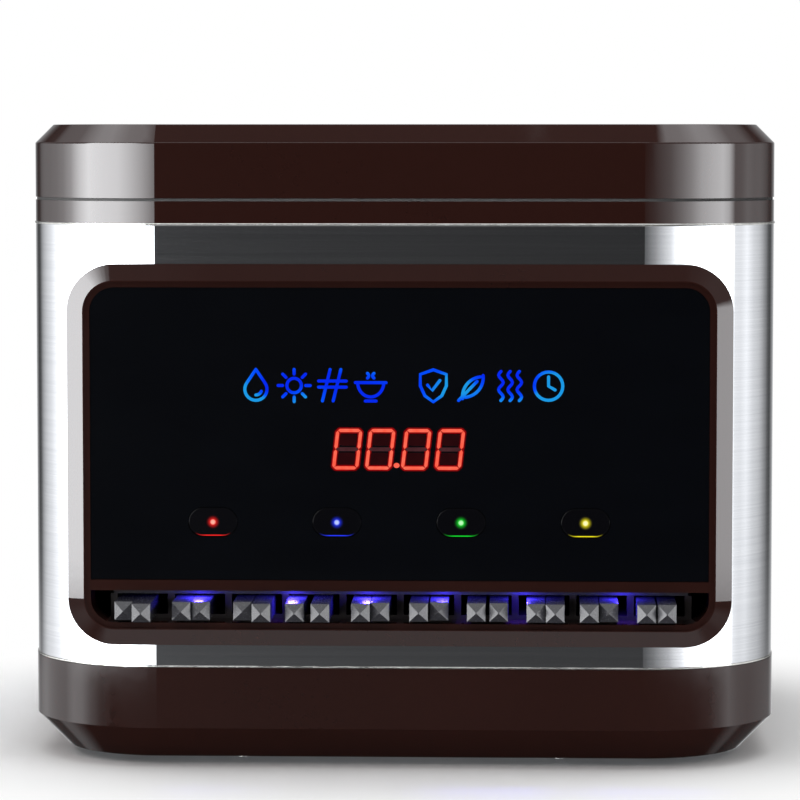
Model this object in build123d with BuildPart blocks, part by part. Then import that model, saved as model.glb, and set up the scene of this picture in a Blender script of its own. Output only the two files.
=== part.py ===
from build123d import *
import math
import os

# Chopstick sterilizer box: a free-standing dispenser that holds chopsticks front to back under a hinged lid,
# and pushes them out in pairs through a slot across its front. Millimetres, +Z up, front towards -Y.
# The origin is under the centre of the whole object's box, on the surface that the feet stand on.

os.makedirs("parts", exist_ok=True)

# ---- casing: sizes over the steel, from the surface upwards ----
side_space = 39.0
rear_space = 23.0
corner_radius = 59.0
foot_height = 3.5
base_height = 41.0
collar_height = 9.5
seam_gap = 1.3
lid_height = 32.0
base_proud = 0.4
base_chamfer_in = 14.0
base_chamfer_up = 14.5
lid_chamfer = 8.1
edge_round = 0.8
shell_wall = 3.0
steel_sheet = 0.8
plate_sheet = 1.2
base_flange = 14.0
flange_thickness = 3.0
lip_height = 6.0
lip_wall = 2.0
fit_gap = 0.2
screw_gap = 0.05
soft_corner = 2.0
running_gap = 0.05

# ---- front frame, panel and slot ----
bezel_side = 18.3
bezel_below = 10.2
bezel_above = 17.6
bezel_radius = 20.5
bezel_band = 10.0
bezel_proud = 4.0
bezel_step = 1.0
bezel_outer_slope = 7.1
bezel_rebate = 2.3
bezel_lip = 0.4
bezel_overlap = 4.0
bezel_depth = 14.0
bezel_seat_gap = 0.1
stick_lift = 1.85
slot_air = 4.25
bar_height = 4.6
bar_back = 7.0
bar_proud = 0.5
glass_height = 127.4
glass_recess = 2.0
glass_thickness = 3.0
glass_ledge = 12.0
ledge_thickness = 3.0
snap_length = 12.0
snap_reach = 1.2
snap_thickness = 2.0
snap_root = 2.0
snap_pitch = 90.0

# ---- keys, display and boards behind the panel ----
button_length = 21.0
button_height = 12.3
button_gap = 0.3
button_proud = 0.2
button_pitch = 53.9
button_lift = 25.4
button_travel = 0.8
button_flange = 1.5
button_flange_thickness = 1.2
button_stem_radius = 2.0
button_stem_offset = 6.0
button_lamp_radius = 1.5
board_depth = 9.0
board_thickness = 1.6
board_width = 264.0
board_height = 109.0
board_lift = 10.6
board_screw_inset = 7.0
board_screw_side = 4.0
board_boss_radius = 3.5
board_screw_radius = 1.5
board_screw_grip = 3.0
display_width = 60.0
display_height = 25.0
display_lift = 31.9
sign_width = 150.0
sign_height = 20.0
sign_lift = 27.6
panel_air = 0.5
key_switch_side = 6.0
key_switch_depth = 3.5
key_plunger_radius = 1.7
key_plunger_length = 0.5
key_rest_gap = 0.1

# ---- chopsticks and their channels ----
stick_side = 8.0
stick_length = 240.0
stick_point = 3.0
stick_square_length = 95.0
stick_end_side = 5.0
stick_tip_side = 0.4
stick_rest = 0.2
channel_count = 10
channel_pitch = 25.2
channel_wall = 3.0
channel_air = 0.85
tray_floor = 3.0
tray_gap = 0.5
tray_rear_gap = 5.0
tray_leg_side = 8.0
tray_leg_from_edge = 4.5
tray_leg_front = 45.0
tray_leg_rear = 47.0
# for each pair: where each stick lies from the channel's middle, and how far it stands out from the crest
stick_places = [
    [(-5.9, 7.0), (2.4, 14.5)], [(-6.0, 8.0), (2.3, 7.0)], [(-4.7, 6.5), (3.8, 13.0)],
    [(-7.0, 11.5), (4.1, 12.5)], [(-3.7, 10.5), (4.6, 7.5)], [(-3.8, 8.5), (4.9, 4.0)],
    [(-4.1, 7.5), (5.6, 7.0)], [(-3.5, 9.5), (4.8, 10.5)], [(-5.7, 10.0), (2.8, 6.5)],
    [(-6.2, 10.5), (2.6, 10.0)],
]

# ---- hopper bin ----
bin_front = 16.0
bin_air = 6.0
bin_wall = 1.5
bin_flange = 8.0
bin_flange_radius = 12.0
bin_flange_thickness = 1.2

# ---- pusher, rack and drive ----
pusher_rest_gap = 1.5
pusher_stop_gap = 0.5
head_width = 18.0
head_length = 6.0
head_height = 7.25
head_gap = 0.4
stem_width = 3.6
stem_gap = 0.4
comb_side_gap = 11.0
comb_length = 14.0
comb_height = 8.0
comb_gap = 0.05
rod_radius = 2.5
rod_inset = 20.0
rod_lug_width = 12.0
rod_lug_length = 6.0
rod_lug_drop = 12.0
gear_module = 1.0
pinion_teeth = 18
pressure_angle = 20.0
gear_backlash = 0.16
gear_width = 8.0
rack_web = 3.0
rack_spare = 12.0
pinion_behind_front_end = 8.0
shaft_radius = 2.5
shaft_tail = 1.0
shaft_hold = 11.0
bracket_x = 7.0
bracket_thickness = 1.5
bracket_half_width = 14.0
bracket_gap = 0.9
bracket_bore_gap = 1.0
bracket_foot = 22.0
gearbox_radius = 12.2
gearbox_length = 22.0
motor_radius = 11.8
motor_length = 32.0
motor_screw_spread = 8.5
motor_screw_radius = 1.25
motor_screw_grip = 4.0

# ---- drying air and ozone ----
fan_side = 60.0
fan_height = 15.0
fan_y = 90.0
fan_bore_radius = 28.5
fan_blade_gap = 1.0
fan_hub_radius = 12.5
fan_disc_radius = 13.0
fan_disc_thickness = 2.0
fan_strut = 3.0
fan_blade_count = 7
fan_blade_chord = 11.0
fan_blade_thickness = 1.2
fan_blade_pitch = 35.0
fan_axle_radius = 1.5
fan_strut_root = 0.5
fan_rotor_gap = 0.5
fan_blade_root = 1.0
duct_wall = 1.5
heater_side = 60.6
heater_height = 20.0
heater_lift = 12.0
heater_fin_pitch = 5.0
heater_fin = 1.2
vent_width = 3.0
vent_length = 22.0
vent_pitch = 6.0
vent_column_gap = 4.0
vent_rows = 8
ozone_length = 70.0
ozone_width = 36.0
ozone_height = 24.0
ozone_plate = 1.0
ozone_x = 95.0
ozone_y = 150.0

# ---- mains ----
power_board_width = 62.0
power_board_length = 92.0
power_board_x = -88.0
power_board_y = 166.0
power_board_lift = 6.0
transformer_width = 42.0
transformer_length = 34.0
transformer_height = 32.0
transformer_from_edge = 2.0
pillar_radius = 2.5
pillar_inset = 4.0
# tall parts on the power board, from its centre: where each stands in X and Y, and how large it is
capacitors = [(-16.0, -26.0, 8.0), (8.0, -30.0, 6.0)]
capacitor_height = 22.0
relays = [(18.0, -8.0, 16.0, 12.0), (-18.0, -4.0, 15.0, 19.0)]
relay_height = 15.0
inlet_x = -104.0
inlet_drop = 13.0
inlet_width = 27.0
inlet_height = 20.0
inlet_depth = 20.0
inlet_flange_width = 48.0
inlet_flange_height = 24.0
inlet_flange_thickness = 2.0
inlet_socket_width = 24.0
inlet_socket_height = 16.5
inlet_socket_depth = 16.0
inlet_pin_width = 2.0
inlet_pin_height = 4.0
inlet_pin_length = 14.0
inlet_pin_pitch = 7.0
inlet_pin_rise = 2.0

# ---- rear cover ----
cover_width = 196.0
cover_lift = 36.0
cover_height = 116.0
cover_sheet = 1.0
cover_lap = 9.0
cover_radius = 6.0
cover_vent_length = 34.0
cover_vent_columns = 3
cover_vent_rows = 7
cover_vent_pitch_x = 46.0
cover_vent_pitch_z = 8.0
cover_vent_drop = 16.0
cover_screw_radius = 1.5
cover_screw_head = 3.0
cover_screw_head_height = 1.8
cover_screw_tail = 2.0

# ---- lid, lamp and hinge ----
hinge_setback = 5.0
knuckle_radius = 4.0
hinge_pin_radius = 2.0
hinge_x = 90.0
lid_knuckle_length = 20.0
collar_knuckle_length = 8.0
knuckle_gap = 0.3
gasket_inset = 0.6
gasket_width = 5.4
gasket_gap = 0.05
liner_sheet = 1.2
liner_recess = 0.9
liner_inset = 3.3
trough_width = 44.0
trough_length = 266.0
trough_height = 25.0
lamp_radius = 7.75
lamp_side_gap = 13.0
lamp_drop = 13.0
lamp_cap_length = 12.0
lamp_pin_radius = 1.2
lamp_pin_length = 6.0
holder_thickness = 8.0
holder_width = 24.0
holder_round = 10.0
liner_boss_radius = 4.0
liner_boss_x = 118.0
liner_boss_y = 100.0
liner_boss_middle_y = 112.0
lid_shoulder = 1.0
liner_screw_radius = 1.5
liner_screw_head = 2.8
liner_screw_head_height = 0.8
magnet_radius = 5.0
magnet_height = 3.0
switch_x = 143.0
switch_ahead = 60.0
switch_length = 20.0
switch_width = 6.0
switch_height = 8.0

# ---- feet and base screws ----
foot_radius = 9.0
foot_taper = 1.0
foot_x = 108.0
foot_from_end = 46.0
foot_recess_radius = 4.2
foot_recess_depth = 1.9
foot_screw_radius = 1.9
foot_screw_head = 3.5
foot_screw_head_height = 1.6
foot_nut_height = 3.0
base_screw_radius = 1.5
base_screw_head = 2.8
base_screw_head_height = 1.4
base_screw_x = 70.0
foot_screw_tail = 1.0

# ---- blue lamps over the slot ----
strip_front = 1.2
strip_width = 5.6
strip_thickness = 1.2
strip_end_gap = 3.0
slot_lamp_height = 0.8
slot_lamp_width = 3.5
slot_lamp_length = 2.8
slot_lamp_x = [-88.0, -47.0, -14.0, 19.0, 54.0, 97.0]

# ---- levels and planes worked out from these ----
width = channel_count * channel_pitch + 2 * side_space
bin_length = stick_length + bin_air
depth = bin_front + bin_length + rear_space
bezel_width = channel_count * channel_pitch + 2 * bezel_side
slot_height = stick_lift + stick_side + slot_air
bezel_height = 2 * bezel_band + slot_height + bar_height + glass_height
steel_height = bezel_below + bezel_height + bezel_above
base_z = foot_height
steel_z = base_z + base_height
collar_z = steel_z + steel_height
collar_top = collar_z + collar_height
lid_z = collar_top + seam_gap
lid_top = lid_z + lid_height
plate_top = base_z + plate_sheet
hinge_z = collar_top + seam_gap / 2
stick_reaches = [ahead for pair in stick_places for _, ahead in pair]
front_reach = bezel_proud + max(stick_reaches)
rear_reach = hinge_setback + knuckle_radius
body_y = (front_reach - rear_reach) / 2
front_y = body_y - depth / 2
rear_y = body_y + depth / 2
hinge_y = rear_y + hinge_setback
crest_y = front_y - bezel_proud
glass_front = crest_y + glass_recess
glass_back = glass_front + glass_thickness
bezel_bottom = steel_z + bezel_below
bezel_top = bezel_bottom + bezel_height
bezel_z = (bezel_bottom + bezel_top) / 2
opening_width = bezel_width - 2 * bezel_band
opening_bottom = bezel_bottom + bezel_band
opening_top = bezel_top - bezel_band
opening_radius = bezel_radius - bezel_band
bar_bottom = opening_bottom + slot_height
bar_top = bar_bottom + bar_height
cutout_width = bezel_width - 2 * bezel_overlap
cutout_height = bezel_height - 2 * bezel_overlap
cutout_radius = bezel_radius - bezel_overlap
board_front = front_y + board_depth
board_bottom = bar_top + board_lift
board_top = board_bottom + board_height
button_x = [(number - 1.5) * button_pitch for number in range(4)]
button_z = bar_top + button_lift
display_z = button_z + display_lift
sign_z = display_z + sign_lift
stick_bottom = opening_bottom + stick_lift
stick_top = stick_bottom + stick_side
stick_z = stick_bottom + stick_side / 2
tray_top = stick_bottom - stick_rest
tray_under = tray_top - tray_floor
channel_top = stick_top + channel_air
channel_x = [(number - (channel_count - 1) / 2) * channel_pitch for number in range(channel_count)]
wall_x = [(number - channel_count / 2) * channel_pitch for number in range(channel_count + 1)]
tray_width = channel_count * channel_pitch + channel_wall
tray_front = front_y + bezel_depth + tray_gap
tray_rear = rear_y - tray_rear_gap
bin_half_width = (channel_count * channel_pitch - channel_wall) / 2
bin_front_y = front_y + bin_front
bin_rear_y = bin_front_y + bin_length
bin_y = (bin_front_y + bin_rear_y) / 2
home_y = bin_rear_y + bin_wall + pusher_rest_gap
pusher_travel = home_y - (crest_y - min(stick_reaches) + stick_length) - pusher_stop_gap
comb_y = home_y + head_length / 2
comb_top = tray_under - comb_gap
comb_bottom = comb_top - comb_height
comb_half_width = tray_width / 2 - comb_side_gap
rod_z = (comb_top + comb_bottom) / 2
rod_x = comb_half_width - rod_inset
pitch_radius = gear_module * pinion_teeth / 2
rack_root_z = comb_bottom - rack_web
pitch_line_z = rack_root_z - 1.25 * gear_module
pinion_z = pitch_line_z - pitch_radius
rack_rear = comb_y + comb_length / 2
rack_front = rack_rear - pusher_travel - 2 * rack_spare
gear_y = rack_front + pinion_behind_front_end
plate_inset = base_chamfer_in + shell_wall
fan_centre_y = front_y + fan_y
duct_z = plate_top + fan_height
inlet_z = steel_z - inlet_drop
cover_bottom = steel_z + cover_lift
cover_z = cover_bottom + cover_height / 2
foot_places = [(side * foot_x, y) for side in (-1, 1)
               for y in (front_y + foot_from_end, rear_y - foot_from_end)]
screw_inset = plate_inset + base_flange / 2
base_screw_places = [(side * (width / 2 - screw_inset), body_y) for side in (-1, 1)]
base_screw_places += [(x, body_y + side * (depth / 2 - screw_inset))
                      for x in (-base_screw_x, base_screw_x) for side in (-1, 1)]


def level(z):
    """Horizontal plane at a height."""
    return Plane.XY.offset(z)


def facing(y):
    """Upright plane that faces the front, with its sketch in X and Z."""
    return Plane.XZ.offset(-y)


def plan_outline(inset):
    """The casing's rounded outline in plan, drawn in from the steel's outer face."""
    with Locations((0, body_y)):
        RectangleRounded(width - 2 * inset, depth - 2 * inset, corner_radius - inset)


def save(piece, name):
    """Label a finished piece and write it under its own name."""
    piece.part.label = name
    export_step(piece.part, "parts/" + name + ".step")


# ---- base housing: bevelled skirt with an inner flange for the bottom plate and a lip for the steel ----
with BuildPart() as base_housing:
    with BuildSketch(level(base_z)):
        plan_outline(base_chamfer_in - base_proud)
    with BuildSketch(level(base_z + base_chamfer_up)):
        plan_outline(-base_proud)
    loft(ruled=True)
    with BuildSketch(level(base_z + base_chamfer_up)):
        plan_outline(-base_proud)
    extrude(amount=base_height - base_chamfer_up)
    fillet(base_housing.edges().filter_by_position(Axis.Z, base_z, base_z), edge_round)
    with BuildSketch(level(base_z)):
        plan_outline(plate_inset)
    extrude(amount=plate_sheet, mode=Mode.SUBTRACT)
    with BuildSketch(level(plate_top)):
        plan_outline(plate_inset + base_flange)
    extrude(amount=flange_thickness, mode=Mode.SUBTRACT)
    with BuildSketch(level(plate_top + flange_thickness)):
        plan_outline(plate_inset)
    with BuildSketch(level(base_z + base_chamfer_up + lip_wall)):
        plan_outline(shell_wall)
    loft(ruled=True, mode=Mode.SUBTRACT)
    with BuildSketch(level(base_z + base_chamfer_up + lip_wall)):
        plan_outline(shell_wall)
    extrude(amount=base_height, mode=Mode.SUBTRACT)
    with BuildSketch(level(steel_z)):
        plan_outline(steel_sheet + fit_gap)
        with Locations((0, body_y)):
            RectangleRounded(width - 2 * shell_wall, depth - 2 * shell_wall,
                             corner_radius - shell_wall, mode=Mode.SUBTRACT)
    extrude(amount=lip_height)
    with BuildSketch(facing(rear_y + shell_wall)):
        with Locations((inlet_x, inlet_z)):
            Rectangle(inlet_width + 2 * fit_gap, inlet_height + 2 * fit_gap)
    extrude(amount=3 * shell_wall, mode=Mode.SUBTRACT)
    with BuildSketch(level(plate_top)):
        with Locations(*base_screw_places):
            Circle(base_screw_radius + screw_gap)
    extrude(amount=flange_thickness, mode=Mode.SUBTRACT)
save(base_housing, "base_housing")

# ---- bottom plate: steel sheet under the flange, with slots under the fan ----
with BuildPart() as bottom_plate:
    with BuildSketch(level(base_z)):
        plan_outline(plate_inset + fit_gap)
        with Locations((0, fan_centre_y)):
            with GridLocations(vent_length + vent_column_gap, vent_pitch, 2, vent_rows):
                SlotOverall(vent_length, vent_width, mode=Mode.SUBTRACT)
        with Locations(*foot_places):
            Circle(foot_screw_radius + screw_gap, mode=Mode.SUBTRACT)
        with Locations(*base_screw_places):
            Circle(base_screw_radius + screw_gap, mode=Mode.SUBTRACT)
    extrude(amount=plate_sheet)
save(bottom_plate, "bottom_plate")

# ---- four rubber feet, each recessed for its screw ----
with BuildPart() as feet:
    for x, y in foot_places:
        with BuildSketch(level(0)):
            with Locations((x, y)):
                Circle(foot_radius - foot_taper)
        with BuildSketch(level(foot_height)):
            with Locations((x, y)):
                Circle(foot_radius)
        loft(ruled=True)
    with BuildSketch(level(0)):
        with Locations(*foot_places):
            Circle(foot_recess_radius)
    extrude(amount=foot_recess_depth, mode=Mode.SUBTRACT)
    with BuildSketch(level(0)):
        with Locations(*foot_places):
            Circle(foot_screw_radius + screw_gap)
    extrude(amount=foot_height, mode=Mode.SUBTRACT)
save(feet, "feet")

# ---- foot screws with their nuts on the bottom plate ----
with BuildPart() as foot_screws:
    with BuildSketch(level(foot_recess_depth - foot_screw_head_height)):
        with Locations(*foot_places):
            Circle(foot_screw_head)
    extrude(amount=foot_screw_head_height)
    with BuildSketch(level(foot_recess_depth)):
        with Locations(*foot_places):
            Circle(foot_screw_radius)
    extrude(amount=plate_top + foot_nut_height + foot_screw_tail - foot_recess_depth)
    with BuildSketch(level(plate_top)):
        with Locations(*foot_places):
            RegularPolygon(foot_screw_head, 6)
    extrude(amount=foot_nut_height)
save(foot_screws, "foot_screws")

# ---- bottom screws: hold the plate up against the base's flange ----
with BuildPart() as bottom_screws:
    with BuildSketch(level(base_z - base_screw_head_height)):
        with Locations(*base_screw_places):
            Circle(base_screw_head)
    extrude(amount=base_screw_head_height)
    with BuildSketch(level(base_z)):
        with Locations(*base_screw_places):
            Circle(base_screw_radius)
    extrude(amount=plate_sheet + flange_thickness)
save(bottom_screws, "bottom_screws")

# ---- steel shell: one sheet wrapped round, cut out for the front frame and behind the rear cover ----
cover_screw_x = cover_width / 2 - cover_lap / 2
cover_screw_places = [(x, cover_z + side * (cover_height - cover_lap) / 2)
                      for x in (-cover_screw_x, 0.0, cover_screw_x) for side in (-1, 1)]
with BuildPart() as steel_shell:
    with BuildSketch(level(steel_z)):
        plan_outline(0)
        with Locations((0, body_y)):
            RectangleRounded(width - 2 * steel_sheet, depth - 2 * steel_sheet,
                             corner_radius - steel_sheet, mode=Mode.SUBTRACT)
    extrude(amount=steel_height)
    with BuildSketch(facing(front_y + bezel_depth)):
        with Locations((0, bezel_z)):
            RectangleRounded(cutout_width, cutout_height, cutout_radius)
    extrude(amount=bezel_depth + steel_sheet, mode=Mode.SUBTRACT)
    with BuildSketch(facing(rear_y + steel_sheet)):
        with Locations((0, cover_z)):
            RectangleRounded(cover_width - 2 * cover_lap, cover_height - 2 * cover_lap, cover_radius)
        with Locations(*cover_screw_places):
            Circle(cover_screw_radius + screw_gap)
    extrude(amount=3 * steel_sheet, mode=Mode.SUBTRACT)
save(steel_shell, "steel_shell")

# ---- rear cover: service panel with air slots, screwed over the opening at the back ----
with BuildPart() as rear_cover:
    with BuildSketch(facing(rear_y + cover_sheet)):
        with Locations((0, cover_z)):
            RectangleRounded(cover_width, cover_height, cover_radius)
        with Locations((0, cover_z - cover_vent_drop)):
            with GridLocations(cover_vent_pitch_x, cover_vent_pitch_z, cover_vent_columns, cover_vent_rows):
                SlotOverall(cover_vent_length, vent_width, mode=Mode.SUBTRACT)
        with Locations(*cover_screw_places):
            Circle(cover_screw_radius + screw_gap, mode=Mode.SUBTRACT)
    extrude(amount=cover_sheet)
save(rear_cover, "rear_cover")

with BuildPart() as rear_cover_screws:
    with BuildSketch(facing(rear_y + cover_sheet + cover_screw_head_height)):
        with Locations(*cover_screw_places):
            Circle(cover_screw_head)
    extrude(amount=cover_screw_head_height)
    with BuildSketch(facing(rear_y + cover_sheet)):
        with Locations(*cover_screw_places):
            Circle(cover_screw_radius)
    extrude(amount=cover_sheet + steel_sheet + cover_screw_tail)
save(rear_cover_screws, "rear_cover_screws")

# ---- hinge knuckles: the collar carries the outer ones, the lid the middle one of each hinge ----
lid_knuckles = [(side * hinge_x - lid_knuckle_length / 2, lid_knuckle_length) for side in (-1, 1)]
collar_knuckles = []
for side in (-1, 1):
    half = lid_knuckle_length / 2 + knuckle_gap
    collar_knuckles.append((side * hinge_x - half - collar_knuckle_length, collar_knuckle_length))
    collar_knuckles.append((side * hinge_x + half, collar_knuckle_length))


def hinge_lug(low_z, high_z):
    """Side view of a knuckle with the lug that ties it to the casing's rear face."""
    with Locations((hinge_y, hinge_z)):
        Circle(knuckle_radius)
    with Locations(((rear_y - shell_wall / 2 + hinge_y) / 2, (low_z + high_z) / 2)):
        Rectangle(hinge_setback + shell_wall / 2, high_z - low_z)
    with Locations((hinge_y, hinge_z)):
        Circle(hinge_pin_radius + running_gap, mode=Mode.SUBTRACT)


# ---- collar: ring under the lid that carries the bin, with its hinge knuckles ----
collar_hole_x = bin_half_width + bin_wall + fit_gap
with BuildPart() as collar:
    with BuildSketch(level(collar_z)):
        plan_outline(0)
    extrude(amount=collar_height)
    with BuildSketch(level(collar_z)):
        plan_outline(shell_wall)
    extrude(amount=collar_height - shell_wall, mode=Mode.SUBTRACT)
    with BuildSketch(level(collar_z)):
        with Locations((0, bin_y)):
            Rectangle(2 * collar_hole_x, bin_length + 2 * (bin_wall + fit_gap))
    extrude(amount=collar_height, mode=Mode.SUBTRACT)
    with BuildSketch(level(collar_top - bin_flange_thickness)):
        with Locations((0, bin_y)):
            RectangleRounded(2 * (collar_hole_x + bin_flange),
                             bin_length + 2 * (bin_wall + fit_gap + bin_flange), bin_flange_radius)
    extrude(amount=bin_flange_thickness, mode=Mode.SUBTRACT)
    with BuildSketch(level(collar_z - lip_height)):
        plan_outline(steel_sheet + fit_gap)
        with Locations((0, body_y)):
            RectangleRounded(width - 2 * shell_wall, depth - 2 * shell_wall,
                             corner_radius - shell_wall, mode=Mode.SUBTRACT)
    extrude(amount=lip_height)
    for start, length in collar_knuckles:
        with BuildSketch(Plane.YZ.offset(start)):
            hinge_lug(hinge_z - knuckle_radius, collar_top)
        extrude(amount=length)
save(collar, "collar")

with BuildPart() as hinge_pins:
    pin_length = lid_knuckle_length + 2 * (knuckle_gap + collar_knuckle_length)
    for side in (-1, 1):
        with BuildSketch(Plane.YZ.offset(side * hinge_x - pin_length / 2)):
            with Locations((hinge_y, hinge_z)):
                Circle(hinge_pin_radius)
        extrude(amount=pin_length)
save(hinge_pins, "hinge_pins")

# ---- gasket: rubber ring on the collar, just under the closed lid ----
gasket_inner = gasket_inset + gasket_width
with BuildPart() as gasket:
    with BuildSketch(level(collar_top)):
        plan_outline(gasket_inset)
        with Locations((0, body_y)):
            RectangleRounded(width - 2 * gasket_inner, depth - 2 * gasket_inner, corner_radius - gasket_inner,
                             mode=Mode.SUBTRACT)
    extrude(amount=seam_gap - gasket_gap)
save(gasket, "gasket")

# ---- lid cover: bevelled shell with screw bosses inside and its hinge knuckles ----
trough_top = lid_z + liner_recess + trough_height
boss_places = [(side * liner_boss_x, body_y + end * liner_boss_y) for side in (-1, 1) for end in (-1, 1)]
boss_places += [(0.0, body_y + end * liner_boss_middle_y) for end in (-1, 1)]
with BuildPart() as lid_cover:
    with BuildSketch(level(lid_z)):
        plan_outline(0)
    extrude(amount=lid_height - lid_chamfer)
    with BuildSketch(level(lid_top - lid_chamfer)):
        plan_outline(0)
    with BuildSketch(level(lid_top)):
        plan_outline(lid_chamfer)
    loft(ruled=True)
    fillet(lid_cover.edges().filter_by_position(Axis.Z, lid_top, lid_top), edge_round)
    shoulder_z = lid_top - lid_chamfer
    fillet(lid_cover.edges().filter_by_position(Axis.Z, shoulder_z, shoulder_z), edge_round)
    with BuildSketch(level(lid_z)):
        plan_outline(shell_wall)
    extrude(amount=lid_height - lid_chamfer - lid_shoulder, mode=Mode.SUBTRACT)
    with BuildSketch(level(lid_top - lid_chamfer - lid_shoulder)):
        plan_outline(shell_wall)
    with BuildSketch(level(lid_top - shell_wall)):
        plan_outline(lid_chamfer + shell_wall / 2)
    loft(ruled=True, mode=Mode.SUBTRACT)
    with BuildSketch(level(lid_z + liner_recess + liner_sheet)):
        with Locations(*boss_places):
            Circle(liner_boss_radius)
    extrude(amount=lid_height - liner_recess - liner_sheet - shell_wall / 2)
    with BuildSketch(level(lid_z + liner_recess)):
        with Locations(*boss_places):
            Circle(liner_screw_radius + screw_gap)
    extrude(amount=lid_height / 2, mode=Mode.SUBTRACT)
    for start, length in lid_knuckles:
        with BuildSketch(Plane.YZ.offset(start)):
            hinge_lug(lid_z, hinge_z + knuckle_radius)
        extrude(amount=length)
save(lid_cover, "lid_cover")

# ---- lid liner: bright sheet that closes the lid from below, with the lamp's trough pressed into it ----
with BuildPart() as lid_liner:
    with BuildSketch(level(lid_z + liner_recess)):
        plan_outline(liner_inset)
        with Locations(*boss_places):
            Circle(liner_screw_radius + screw_gap, mode=Mode.SUBTRACT)
    extrude(amount=liner_sheet)
    with BuildSketch(level(lid_z + liner_recess)):
        with Locations((0, body_y)):
            Rectangle(trough_length, trough_width)
    extrude(amount=trough_height)
    with BuildSketch(level(lid_z + liner_recess)):
        with Locations((0, body_y)):
            Rectangle(trough_length - 2 * liner_sheet, trough_width - 2 * liner_sheet)
    extrude(amount=trough_height - liner_sheet, mode=Mode.SUBTRACT)
save(lid_liner, "lid_liner")

with BuildPart() as liner_screws:
    with BuildSketch(level(lid_z + liner_recess - liner_screw_head_height)):
        with Locations(*boss_places):
            Circle(liner_screw_head)
    extrude(amount=liner_screw_head_height)
    with BuildSketch(level(lid_z + liner_recess)):
        with Locations(*boss_places):
            Circle(liner_screw_radius)
    extrude(amount=lid_height / 2 - liner_sheet)
save(liner_screws, "liner_screws")

# ---- lamp tube across the lid, with metal end caps and pins in two holders ----
lamp_z = trough_top - liner_sheet - lamp_drop
lamp_length = trough_length - 2 * lamp_side_gap
lamp_cap_x = lamp_length / 2 - lamp_cap_length
with BuildPart() as uv_lamp:
    with BuildSketch(Plane.YZ.offset(-lamp_length / 2)):
        with Locations((body_y, lamp_z)):
            Circle(lamp_radius)
    extrude(amount=lamp_length)
    for start in (-lamp_length / 2, lamp_cap_x):
        with BuildSketch(Plane.YZ.offset(start)):
            with Locations((body_y, lamp_z)):
                Circle(lamp_radius + 2 * fit_gap)
        extrude(amount=lamp_cap_length)
    for start in (-lamp_length / 2 - lamp_pin_length, lamp_length / 2):
        with BuildSketch(Plane.YZ.offset(start)):
            with Locations((body_y - lamp_radius / 2, lamp_z), (body_y + lamp_radius / 2, lamp_z)):
                Circle(lamp_pin_radius)
        extrude(amount=lamp_pin_length)
save(uv_lamp, "uv_lamp")

with BuildPart() as lamp_holders:
    for start in (-lamp_length / 2 - holder_thickness, lamp_length / 2):
        with BuildSketch(Plane.YZ.offset(start)):
            with Locations((body_y, lamp_z)):
                Circle(holder_round)
            with Locations((body_y, (lamp_z + trough_top - liner_sheet) / 2)):
                Rectangle(holder_width, trough_top - liner_sheet - lamp_z)
            with Locations((body_y - lamp_radius / 2, lamp_z), (body_y + lamp_radius / 2, lamp_z)):
                Circle(lamp_pin_radius + running_gap, mode=Mode.SUBTRACT)
        extrude(amount=holder_thickness)
save(lamp_holders, "lamp_holders")

# ---- magnet in the lid and the switch that it holds closed under the collar's deck ----
switch_y = body_y - switch_ahead
with BuildPart() as lid_magnet:
    with BuildSketch(level(lid_z + liner_recess + liner_sheet)):
        with Locations((switch_x, switch_y)):
            Circle(magnet_radius)
    extrude(amount=magnet_height)
save(lid_magnet, "lid_magnet")

with BuildPart() as lid_switch:
    with BuildSketch(level(collar_top - shell_wall - switch_height)):
        with Locations((switch_x, switch_y)):
            RectangleRounded(switch_width, switch_length, soft_corner / 2)
    extrude(amount=switch_height)
save(lid_switch, "lid_switch")

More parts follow.
